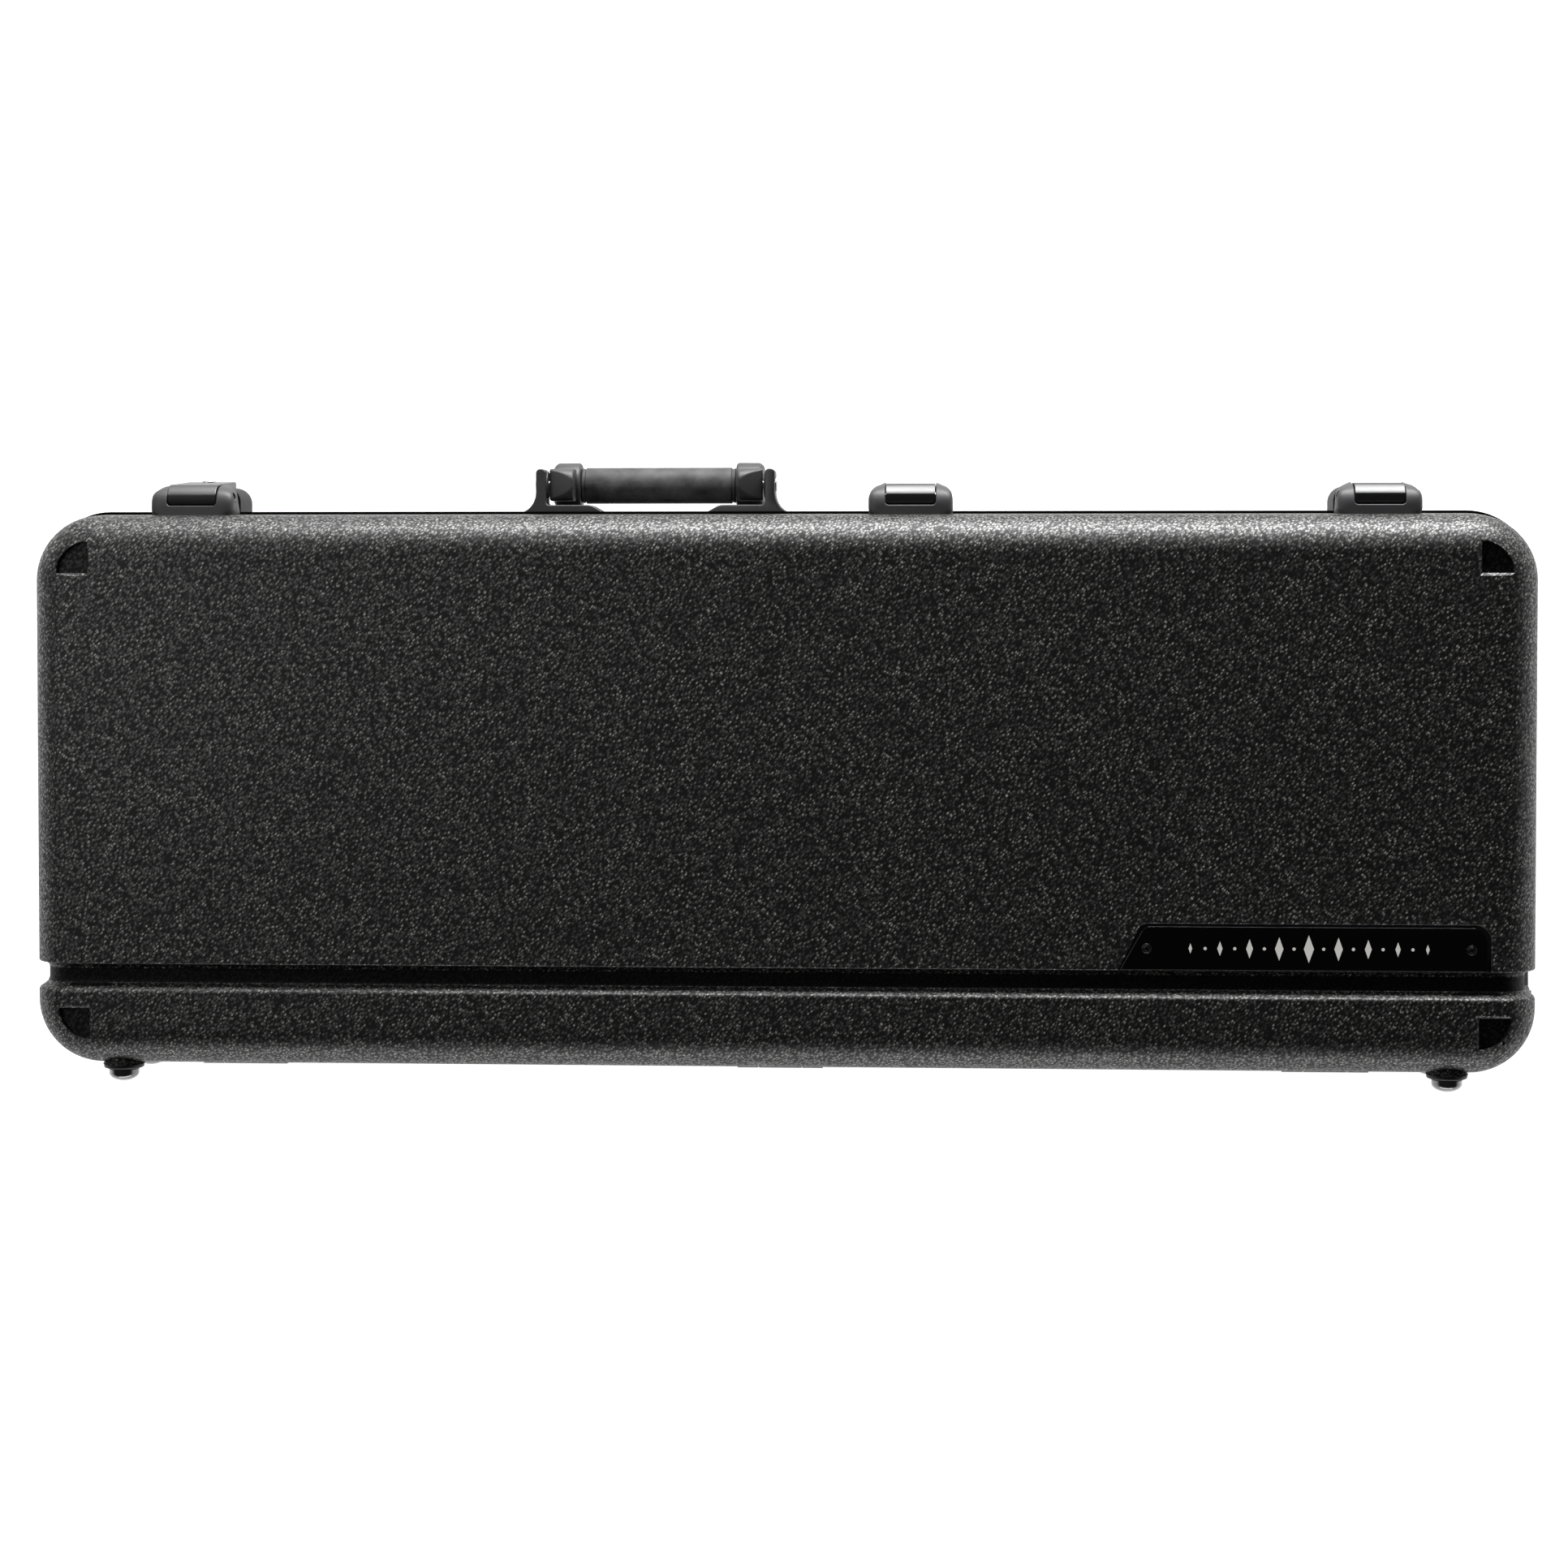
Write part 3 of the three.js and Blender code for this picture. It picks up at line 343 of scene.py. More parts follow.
def outline_ring(name, inset, width, low, high):
    """A frame that follows the case's outline: a rounded plate, opened and drawn up."""
    bpy.ops.mesh.primitive_plane_add(size=1, location=(0, 0, low))
    ring = bpy.context.object
    ring.scale = (2 * (HALF_LENGTH - inset), 2 * (HALF_WIDTH - inset), 1)
    settle(ring, name)
    with editing(ring):
        bpy.ops.mesh.select_all(action="SELECT")
        round_off(CORNER_ROUND - inset, CORNER_STEPS, affect="VERTICES")
        bpy.ops.mesh.select_mode(type="FACE")
        bpy.ops.mesh.select_all(action="SELECT")
        bpy.ops.mesh.inset(thickness=width)
        bpy.ops.mesh.delete(type="FACE")
        bpy.ops.mesh.select_all(action="SELECT")
        bpy.ops.mesh.extrude_region_move(TRANSFORM_OT_translate={"value": (0, 0, high - low)})
        face_outwards()
    return ring


# Finishes
class Wire:
    """An output of a node, so that shader maths reads as an expression."""

    def __init__(self, graph, socket):
        self.graph = graph
        self.socket = socket

    def maths(self, operation, first, second=0.0):
        return self.graph.node("ShaderNodeMath", {"operation": operation}, {0: first, 1: second})

    def __add__(self, other):
        return self.maths("ADD", self, other)

    def __sub__(self, other):
        return self.maths("SUBTRACT", self, other)

    def __rsub__(self, other):
        return self.maths("SUBTRACT", other, self)

    def __mul__(self, other):
        return self.maths("MULTIPLY", self, other)

    def __truediv__(self, other):
        return self.maths("DIVIDE", self, other)

    def __lt__(self, other):
        return self.maths("LESS_THAN", self, other)

    def __gt__(self, other):
        return self.maths("GREATER_THAN", self, other)

    def __abs__(self):
        return self.maths("ABSOLUTE", self)

    def larger(self, other):
        return self.maths("MAXIMUM", self, other)

    __radd__ = __add__
    __rmul__ = __mul__


class Graph:
    """A node tree that is built by calls."""

    def __init__(self, tree):
        self.tree = tree

    def node(self, kind, settings=None, inputs=None, output=0):
        made = self.tree.nodes.new(kind)
        for setting, value in (settings or {}).items():
            if setting == "stops":
                ramp = made.color_ramp
                for stop, (position, shade) in zip(ramp.elements, value):
                    stop.position = position
                    stop.color = (shade, shade, shade, 1)
            else:
                setattr(made, setting, value)
        for socket, value in (inputs or {}).items():
            self.link(value, made.inputs[socket])
        return Wire(self, made.outputs[output])

    def link(self, value, socket):
        if isinstance(value, Wire):
            self.tree.links.new(value.socket, socket)
        else:
            socket.default_value = value

    def ray_is(self, kind):
        return self.node("ShaderNodeLightPath", output=f"Is {kind} Ray")

    def shows_background(self):
        """1 for the rays that show a background: camera, glossy and transmission."""
        return self.ray_is("Camera").larger(self.ray_is("Glossy")).larger(self.ray_is("Transmission"))


class Finish(Graph):
    """A procedural material with one Principled shader."""

    def __init__(self, name, colour, roughness, **constants):
        self.material = bpy.data.materials.new(name)
        self.material.use_nodes = True
        super().__init__(self.material.node_tree)
        self.shader = self.tree.nodes["Principled BSDF"]
        self.colour = (*colour, 1)
        self.shader.inputs["Base Color"].default_value = self.colour
        self.shader.inputs["Roughness"].default_value = roughness
        for socket, value in constants.items():
            self.shader.inputs[socket.replace("_", " ")].default_value = value
        self.place = self.node("ShaderNodeTexCoord", output="Object")

    def feed(self, socket, value):
        self.link(value, self.shader.inputs[socket])
        return self

    def coordinates(self):
        """The three object coordinates, each as a number."""
        split = self.node("ShaderNodeSeparateXYZ", inputs={0: self.place}).socket.node
        return [Wire(self, split.outputs[axis]) for axis in "XYZ"]

    def mapped(self, stretch, turn=0.0, place=None):
        """Coordinates turned about Z, then stretched."""
        inputs = {"Vector": place or self.place, "Rotation": (0, 0, turn)}
        turned_place = self.node("ShaderNodeMapping", inputs=inputs)
        return self.node("ShaderNodeMapping", inputs={"Vector": turned_place, "Scale": stretch})

    def noise(self, scale, detail=2.0, place=None, roughness=0.5):
        return self.node("ShaderNodeTexNoise", inputs={
            "Vector": place or self.place, "Scale": scale, "Detail": detail, "Roughness": roughness,
        })

    def ramp(self, value, low, high, low_shade=0.0, high_shade=1.0):
        """A value drawn from one shade to another between two levels."""
        settings = {"stops": [(low, low_shade), (high, high_shade)]}
        return self.node("ShaderNodeValToRGB", settings, {"Fac": value})

    def blend(self, factor, first, second):
        return self.node(
            "ShaderNodeMix", {"data_type": "RGBA"}, {0: factor, 6: first, 7: second}, output=2,
        )

    def bump(self, height, strength, depth, under=None):
        inputs = {"Height": height, "Strength": strength, "Distance": depth}
        if under is not None:
            inputs["Normal"] = under
        return self.node("ShaderNodeBump", inputs=inputs)


def shade(red, green, blue):
    """A colour written as 0 to 255 levels, as the shader takes it."""
    return tuple((level / 255) ** 2.2 for level in (red, green, blue))


# Leather grain of the shells: leaning pebbles, longer than they are wide
PEBBLE_WIDTH = 1.55 * MM
PEBBLE_LENGTH = 2.7 * MM
GRAIN_LEAN = math.radians(-50)
GRAIN_SWAY = 1.6 * MM
GRAIN_DEPTH = 0.26 * MM
# Colour level of the pebble tops: a painted highlight on the black plastic
CREST_HIGHLIGHT_LEVEL = 158
SUNK_SHALLOW, SUNK_DEEP = 4 * MM, 8 * MM
CHANNEL_LIT_WIDTH = 4 * MM
# How far painted shade darkens the channel floor and the pocket floors, and weakens their coat
CHANNEL_PAINTED_SHADE = 0.85
POCKET_PAINTED_SHADE = 0.6


def shell_grain():
    """Warm black moulded plastic: leaning pebbles of uneven height, with a painted highlight on their tops,
    painted shade between them, and painted shade in the channel and pockets.
    """
    finish = Finish(
        "grained_shell", shade(12, 12, 11), 0.6,
        Specular_IOR_Level=0.12, Coat_IOR=1.9, Coat_Roughness=0.48,
    )
    sway = finish.noise(240, 1.0)
    swayed = finish.node(
        "ShaderNodeVectorMath", {"operation": "MULTIPLY_ADD"},
        {0: sway, 1: (GRAIN_SWAY,) * 3, 2: finish.place},
    )
    stretch = (1 / PEBBLE_LENGTH, 1 / PEBBLE_WIDTH, 1 / PEBBLE_WIDTH)
    drawn_out = finish.mapped(stretch, GRAIN_LEAN, swayed)
    cells = finish.node("ShaderNodeTexVoronoi", inputs={"Vector": drawn_out, "Scale": 1.0}).socket.node
    from_middle = Wire(finish, cells.outputs["Distance"])
    uneven = finish.node("ShaderNodeSeparateColor", inputs={0: Wire(finish, cells.outputs["Color"])})
    pebble = finish.ramp(from_middle, 0.0, 0.66, 1.0, 0.0)
    x, y, z = finish.coordinates()
    depth = HALF_DEPTH - abs(z - HALF_DEPTH)
    in_channel = (CHANNEL_FAR + CHANNEL_LIT_WIDTH < y) * (y < CHANNEL_NEAR - CHANNEL_NEAR_SLOPE)
    aside, up = abs(x) - POCKET_X, abs(y) - POCKET_Y
    in_quarter = aside * aside + up * up < POCKET_RADIUS ** 2
    in_pocket = in_quarter * (SUNK_SHALLOW < depth) * (depth < SUNK_DEEP)
    # Painted shade in the channel and the pockets: there the colour is darkened and the coat weakened
    recess_painted_shade_factor = 1 - (in_channel * CHANNEL_PAINTED_SHADE).larger(in_pocket * POCKET_PAINTED_SHADE)
    # Mask of the pebble tops: their lighter colour is a painted highlight, and the mask also lowers their
    # roughness
    crest_highlight = pebble * (0.25 + uneven) * recess_painted_shade_factor
    # Base colour runs from painted shade in the hollows between pebbles to a painted highlight on their
    # tops
    valley_painted_shade, top = (*shade(3, 3, 3), 1), (*shade(CREST_HIGHLIGHT_LEVEL, CREST_HIGHLIGHT_LEVEL - 3, CREST_HIGHLIGHT_LEVEL - 10), 1)
    finish.feed("Base Color", finish.blend(crest_highlight * crest_highlight * crest_highlight, valley_painted_shade, top))
    finish.feed("Coat Weight", (0.2 + 1.1 * pebble) * recess_painted_shade_factor)
    finish.feed("Roughness", 0.6 - 0.2 * crest_highlight)
    finish.feed("Normal", finish.bump(pebble * (0.5 + 0.5 * uneven), 0.8, GRAIN_DEPTH))
    return finish.material


def speckled(name, colour, roughness, scale, strength, depth, lift=1.3, **constants):
    """A moulded finish with a fine spark-eroded texture and soft tone changes."""
    finish = Finish(name, colour, roughness, **constants)
    grain = finish.noise(scale, 3.0, roughness=0.6)
    clouds = finish.noise(38, 3.0)
    lighter = tuple(min(1, part * lift) for part in colour)
    finish.feed("Base Color", finish.blend(finish.ramp(clouds, 0.35, 0.7), (*colour, 1), (*lighter, 1)))
    finish.feed("Roughness", roughness - 0.06 + 0.12 * clouds + 0.06 * grain)
    finish.feed("Normal", finish.bump(grain, strength, depth))
    return finish.material


def grip_rubber():
    """Matte moulded rubber, mottled by handling."""
    finish = Finish("grip_rubber", shade(62, 62, 63), 0.62, Specular_IOR_Level=0.4)
    mottle = finish.noise(420, 4.0, roughness=0.7)
    clouds = finish.noise(70, 3.0)
    worn = finish.ramp(clouds + 0.4 * mottle, 0.5, 0.95)
    finish.feed("Base Color", finish.blend(worn, (*shade(40, 40, 41), 1), (*shade(78, 78, 79), 1)))
    finish.feed("Roughness", 0.52 + 0.2 * mottle)
    finish.feed("Normal", finish.bump(mottle, 0.5, 0.25 * MM))
    return finish.material


def plush():
    """Short black plush over foam."""
    finish = Finish(
        "lining_plush", shade(27, 28, 31), 0.95,
        Sheen_Weight=0.5, Sheen_Roughness=0.4, Specular_IOR_Level=0.2,
    )
    pile = finish.noise(1500, 3.0, roughness=0.7)
    nap = finish.noise(24, 3.0)
    tone = finish.ramp(0.6 * nap + 0.4 * pile, 0.35, 0.65)
    finish.feed("Base Color", finish.blend(tone, (*shade(20, 21, 24), 1), (*shade(44, 45, 50), 1)))
    finish.feed("Normal", finish.bump(pile + 0.5 * nap, 0.7, 0.9 * MM))
    return finish.material


def brushed_steel():
    finish = Finish("brushed_steel", (0.55, 0.55, 0.56), 0.3, Metallic=1.0)
    streaks = finish.noise(900, 3.0, place=finish.mapped((0.05, 1, 1)))
    finish.feed("Roughness", 0.22 + 0.2 * streaks)
    finish.feed("Normal", finish.bump(streaks, 0.12, 0.05 * MM))
    return finish.material


def painted_steel():
    finish = Finish("black_steel", shade(18, 18, 19), 0.34, Specular_IOR_Level=0.5)
    specks = finish.noise(1400, 2.0)
    clouds = finish.noise(60, 3.0)
    finish.feed("Roughness", 0.16 + 0.1 * clouds)
    finish.feed("Base Color", finish.blend(clouds, (*shade(12, 12, 13), 1), (*shade(24, 24, 25), 1)))
    finish.feed("Normal", finish.bump(specks, 0.08, 0.08 * MM))
    return finish.material


# Row of lozenges on the nameplate: the largest in the middle, smaller outwards, with dots between
MOTIF_PITCH = 20 * MM
MOTIF_COUNT_EACH_WAY = 4
MOTIF_HALF_HEIGHT = 9.5 * MM
MOTIF_HALF_HEIGHT_STEP = 1.5 * MM
MOTIF_SLENDER_SHARE = 0.36
MOTIF_DOT_RADIUS = 1.1 * MM


def plate_gloss():
    """Polished black plate with its row of printed lozenges."""
    low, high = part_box("nameplate")
    finish = Finish("plate_gloss", shade(4, 4, 5), 0.08, Specular_IOR_Level=0.5)
    x, y, _ = finish.coordinates()
    across = (x - (low.x + high.x) / 2) / MOTIF_PITCH
    up = abs(y - (low.y + high.y) / 2)
    step = across.maths("ROUND", across)
    reach = MOTIF_HALF_HEIGHT - abs(step) * MOTIF_HALF_HEIGHT_STEP
    aside = abs(across - step) * MOTIF_PITCH
    lozenge = aside / MOTIF_SLENDER_SHARE + up < reach
    within = abs(step) < MOTIF_COUNT_EACH_WAY + 0.5
    half_step = across.maths("FLOOR", across) + 0.5
    beside = (across - half_step) * MOTIF_PITCH
    spread = beside * beside + up * up
    dot = spread < MOTIF_DOT_RADIUS ** 2
    dot_within = abs(half_step) < MOTIF_COUNT_EACH_WAY
    ink = (lozenge * within).larger(dot * dot_within)
    dust = finish.noise(240, 4.0)
    finish.feed("Base Color", finish.blend(ink, finish.colour, (*shade(215, 213, 208), 1)))
    finish.feed("Roughness", 0.05 + 0.07 * dust + 0.3 * ink)
    return finish.material


FINISHES = {
    "shell_plastic": shell_grain(),
    "rim_plastic": speckled(
        "rim_plastic", shade(16, 16, 16), 0.42, 900, 0.3, 0.15 * MM, Specular_IOR_Level=0.35,
    ),
    "seam_plastic": speckled(
        "seam_plastic", shade(6, 6, 6), 0.85, 900, 0.3, 0.15 * MM, Specular_IOR_Level=0.05,
    ),
    "latch_plastic": speckled(
        "latch_plastic", shade(40, 40, 42), 0.5, 1300, 0.14, 0.1 * MM, Specular_IOR_Level=0.6,
    ),
    # The same latch plastic, made darker and less glossy on the keeper: painted shade
    "keeper_painted_shade_plastic": speckled(
        "keeper_painted_shade_plastic", shade(24, 24, 25), 0.5, 1300, 0.14, 0.1 * MM, Specular_IOR_Level=0.15,
    ),
    "lever_plastic": speckled(
        "lever_plastic", shade(20, 20, 21), 0.36, 1300, 0.06, 0.08 * MM, Specular_IOR_Level=0.8,
    ),
    "handle_plastic": speckled(
        "handle_plastic", shade(44, 44, 45), 0.46, 1100, 0.26, 0.14 * MM, Specular_IOR_Level=0.5,
    ),
    "grip_rubber": grip_rubber(),
    "plate_gloss": plate_gloss(),
    "foot_rubber": speckled(
        "foot_rubber", shade(18, 18, 18), 0.2, 500, 0.12, 0.12 * MM,
        Specular_IOR_Level=0.8, Coat_Weight=1.0, Coat_IOR=1.9, Coat_Roughness=0.12,
    ),
    "lining_plush": plush(),
    "steel": brushed_steel(),
    "black_steel": painted_steel(),
}


def seat(piece, body, finish, *nodes):
    """Puts a finished piece on its body, in place of the solids that it stands for."""
    piece.data.materials.clear()
    piece.data.materials.append(FINISHES[finish])
    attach(piece, body)
    if nodes:
        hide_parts(*nodes)
    return piece


# Shells
def press_channel(shell):
    """Presses the channel into the panel and the end walls, and lets it run out at the rim."""
    near_floor = CHANNEL_NEAR - CHANNEL_NEAR_SLOPE
    far_floor = CHANNEL_FAR + CHANNEL_FAR_SLOPE
    ramp_high = RAMP_LOW + RAMP_LENGTH
    for y in (CHANNEL_NEAR, near_floor, far_floor, CHANNEL_FAR):
        slice_through((0, y, 0), (0, 1, 0))
    for z in (RAMP_LOW, ramp_high):
        slice_through((0, 0, z), (0, 0, 1))

    def on_floor(point):
        return far_floor - TINY < point.co.y < near_floor + TINY

    pick(shell, "VERT", lambda point: on_floor(point) and point.co.z > ramp_high - TINY)
    bpy.ops.transform.shrink_fatten(value=-CHANNEL_DEPTH, use_even_offset=True)
    pick(shell, "VERT", lambda point: on_floor(point) and point.co.z < RAMP_LOW + TINY)
    bpy.ops.transform.shrink_fatten(value=-CHANNEL_RIM_DEPTH, use_even_offset=True)
    for y, radius in (
        (CHANNEL_NEAR, NEAR_LIP_ROUND), (CHANNEL_FAR, FAR_LIP_ROUND),
        (near_floor, NEAR_FLOOR_ROUND), (far_floor, FAR_FLOOR_ROUND),
    ):
        pick(shell, "EDGE", at_level(1, y))
        round_off(radius, 3)


def pocket_tool(depth, side_x, side_y):
    """A quarter round bar, square towards the middle of the panel, that widens at the surface."""
    x, y = side_x * POCKET_X, side_y * POCKET_Y
    tool = rod("pocket", (x, y, depth - POCKET_DEPTH), (x, y, depth + OVERRUN), POCKET_RADIUS, sides=96)
    cut_away(tool, (x, y, 0), (-side_x, 0, 0))
    cut_away(tool, (x, y, 0), (0, -side_y, 0))
    growth = 1 + 2 * POCKET_BREAK / POCKET_RADIUS
    with editing(tool):
        for z in (depth - POCKET_BREAK, depth):
            slice_through((0, 0, z), (0, 0, 1))
        pick(tool, "VERT", lambda point: point.co.z > depth - TINY)
        bpy.ops.transform.resize(value=(growth, growth, 1), center_override=(x, y, depth))
        bpy.ops.transform.translate(value=(-side_x * POCKET_BREAK, -side_y * POCKET_BREAK, 0))
        face_outwards()
    return tool


def boss_tool(foot, rim_level, up):
    """The cone that seats a foot where the side wall rounds into the panel."""
    x, z = foot.x, (foot.z - rim_level) * up
    return rod(
        "boss", (x, HALF_WIDTH - BOSS_LENGTH, z), (x, HALF_WIDTH, z), BOSS_TIP, BOSS_RADIUS, sides=64,
    )


def tray(name, rim_level, depth, up, feet):
    """One moulded shell: drafted walls, round corners, pressed channel, pockets and foot bosses."""
    shell = cuboid(name, (-HALF_LENGTH, -HALF_WIDTH, 0), (HALF_LENGTH, HALF_WIDTH, depth))
    drawn_in = DRAFT * depth / (depth - EDGE_ROUND)
    with editing(shell):
        pick(shell, "FACE", lambda face: face.normal.z > LEVEL)
        bpy.ops.transform.resize(
            value=(1 - drawn_in / HALF_LENGTH, 1 - drawn_in / HALF_WIDTH, 1),
            center_override=(0, 0, depth),
        )
        pick(shell, "EDGE", along(2))
        round_off(CORNER_ROUND, CORNER_STEPS)
        pick(shell, "EDGE", at_level(2, depth))
        round_off(EDGE_ROUND, EDGE_STEPS)
        pick(shell, "FACE", lambda face: face.normal.z < -LEVEL)
        bpy.ops.mesh.delete(type="FACE")
        press_channel(shell)
        bpy.ops.mesh.select_mode(type="EDGE")
        bpy.ops.mesh.select_all(action="DESELECT")
        bpy.ops.mesh.select_non_manifold()
        bpy.ops.mesh.edge_face_add()
        face_outwards()
    corners = [(side_x, side_y) for side_x in (-1, 1) for side_y in (-1, 1)]
    cut(shell, *(pocket_tool(depth, *corner) for corner in corners))
    join(shell, *(boss_tool(middle_of(foot), rim_level, up) for foot in feet))
    with editing(shell):
        bpy.ops.mesh.select_all(action="SELECT")
        bpy.ops.transform.resize(value=(1, 1, up), center_override=(0, 0, 0))
        bpy.ops.transform.translate(value=(0, 0, rim_level))
        bpy.ops.mesh.remove_doubles(threshold=TINY)
        face_outwards()
        pick(shell, "FACE", lambda face: all(abs(v.co.z - rim_level) < FIT for v in face.verts))
        bpy.ops.mesh.delete(type="FACE")
    apply_modifier(shell, "SOLIDIFY", thickness=WALL, offset=-1, use_even_offset=True, thickness_clamp=1)
    return shell


KNUCKLE_RADIUS = 3 * MM


def hinge_notches():
    """The seats of the hinge barrels in the rims."""
    notches = []
    for place in PLACES:
        low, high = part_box(f"hinge_lid_leaf_{place}")
        base_low, base_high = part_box(f"hinge_base_leaf_{place}")
        start = min(low.x, base_low.x) - 2 * FIT
        end = max(high.x, base_high.x) + 2 * FIT
        pin = middle_of(f"hinge_pin_{place}")
        notches.append(axle("notch", start, end, pin, KNUCKLE_RADIUS + 2 * FIT, 40))
    return notches


# Nameplate outline and its seat
PLATE_MARGIN = 2 * FIT
PLATE_SLANT_SHARE = 0.56
PLATE_TOE = 3.2 * MM
PLATE_HEEL = 4 * MM
RECESS_FLARE = 2.4 * MM
PLATE_SLANT_ROUND = 4 * MM
PLATE_END_ROUND = 11 * MM


def plate_form(name, margin, low_z, high_z):
    """The nameplate's outline: square at the channel, slanted at one end and round at its top."""
    low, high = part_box("nameplate")
    slant = PLATE_SLANT_SHARE * (high.y - low.y)
    heel, toe = low.x + PLATE_HEEL - margin, high.x + PLATE_TOE + margin
    form = cuboid(name, (heel, low.y - margin, low_z), (toe, high.y + margin, high_z))
    with editing(form):
        pick(form, "VERT", lambda point: point.co.x > high.x and point.co.y < low.y + TINY)
        bpy.ops.transform.translate(value=(-slant, 0, 0))
        pick(form, "EDGE", lambda edge: along(2)(edge) and edge.verts[0].co.y < low.y + TINY
             and edge.verts[0].co.x > low.x + slant)
        round_off(PLATE_SLANT_ROUND, 8)
        pick(form, "EDGE", lambda edge: along(2)(edge) and abs(edge.verts[0].co.x - heel) < TINY
             and edge.verts[0].co.y < low.y + TINY)
        round_off(PLATE_END_ROUND, 12)
        face_outwards()
    return form


def nameplate_recess():
    """The cutter for the plate's seat, whose walls flare up to the panel."""
    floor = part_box("nameplate")[0].z - FIT
    recess = plate_form("recess", RECESS_FLARE, LID_HIGH.z, LID_HIGH.z + OVERRUN)
    with editing(recess):
        pick(recess, "FACE", lambda face: face.normal.z < -LEVEL)
        bpy.ops.mesh.inset(thickness=RECESS_FLARE - PLATE_MARGIN)
        bpy.ops.transform.translate(value=(0, 0, floor - LID_HIGH.z))
    return recess


def level_panel(shell, level, up):
    """Presses back what rounding the breaks has raised over the panel."""
    with editing(shell):
        pick(shell, "VERT", lambda point: (point.co.z - level) * up > 0)
        bpy.ops.transform.resize(value=(1, 1, 0), center_override=(0, 0, level))
    even_shading(shell)
    return shell


def make_shells():
    base_depth, lid_depth = SEAM - BASE_LOW.z, LID_HIGH.z - LID_LOW.z
    base = tray("moulded_base", SEAM, base_depth, -1, ["foot_cup_base_body_end", "foot_cup_base_neck_end"])
    cut(base, *hinge_notches())
    soften(base, SHELL_EDGE, 2, slack=SHELL_SLACK)
    seat(level_panel(base, BASE_LOW.z, -1), "base", "shell_plastic", "base_shell")
    lid = tray("moulded_lid", LID_LOW.z, lid_depth, 1, ["foot_cup_lid_body_end", "foot_cup_lid_neck_end"])
    cut(lid, nameplate_recess(), *hinge_notches())
    soften(lid, SHELL_EDGE, 2, slack=SHELL_SLACK)
    seat(level_panel(lid, LID_HIGH.z, 1), "lid", "shell_plastic", "lid_shell")
    bead = outline_ring("seam_bead", -BEAD_PROUD, BEAD_WIDTH, SEAM - BEAD_HEIGHT, SEAM - TINY)
    run_out = cuboid(
        "run_out", (-HALF_LENGTH - OVERRUN, CHANNEL_FAR, SEAM - OVERRUN),
        (HALF_LENGTH + OVERRUN, CHANNEL_NEAR, SEAM + OVERRUN),
    )
    cut(bead, run_out, *hinge_notches())
    seat(soften(bead, 0.35 * MM, 2), "base", "seam_plastic")


def make_rims():
    base = outline_ring("tongue_rim", RIM_INSET, RIM_WIDTH, SEAM - RIM_HEIGHT, SEAM)
    tongue_low, tongue_high = SEAM - RIM_HEIGHT / 2, SEAM + TONGUE_HEIGHT
    join(base, outline_ring("tongue", TONGUE_INSET, TONGUE_WIDTH, tongue_low, tongue_high))
    seat(soften(base, 0.6 * MM), "base", "rim_plastic", "base_rim")
    lid = outline_ring("groove_rim", RIM_INSET, RIM_WIDTH, LID_LOW.z, LID_LOW.z + RIM_HEIGHT)
    groove_inset = TONGUE_INSET - TONGUE_SIDE_GAP
    groove_width = TONGUE_WIDTH + 2 * TONGUE_SIDE_GAP
    groove_top = LID_LOW.z + TONGUE_HEIGHT + TONGUE_TOP_GAP
    cut(lid, outline_ring("groove", groove_inset, groove_width, LID_LOW.z - OVERRUN, groove_top))
    seat(soften(lid, 0.5 * MM), "lid", "rim_plastic", "lid_rim")


# Foam fittings
FOAM_VOXEL = 4 * MM


def foam(name, node, body, rounds=10):
    """A plush covered foam block, rounded where its cover is drawn over the edges."""
    block = bpy.data.objects.new(name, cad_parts[node].data.copy())
    bpy.context.collection.objects.link(block)
    with editing(block):
        bpy.ops.mesh.select_all(action="SELECT")
        bpy.ops.mesh.remove_doubles(threshold=TINY)
    apply_modifier(block, "REMESH", mode="VOXEL", voxel_size=FOAM_VOXEL, use_smooth_shade=True)
    apply_modifier(block, "SMOOTH", factor=0.5, iterations=rounds)
    seat(block, body, "lining_plush", node)


def make_foam():
    foam("body_foam_plush", "body_foam", "base")
    foam("neck_foam_hinge_side_plush", "neck_foam_hinge_side", "base")
    foam("neck_foam_handle_side_plush", "neck_foam_handle_side", "base")
    foam("neck_cradle_plush", "neck_cradle", "base", 5)
    foam("floor_pad_plush", "floor_pad", "base", 3)
    foam("lid_foam_plush", "lid_foam", "lid", 8)


# Hinges
LEAF_THICKNESS = 1.5 * MM
LEAF_ROUND = 2.5 * MM
BASE_KNUCKLES = ((-0.5, -0.257), (0.257, 0.5))
LID_KNUCKLES = ((-0.25, 0.25),)
RIVET_RADIUS = 1.8 * MM
RIVET_HEIGHT = 0.8 * MM
RIVET_PLACES = (-0.36, 0, 0.36)


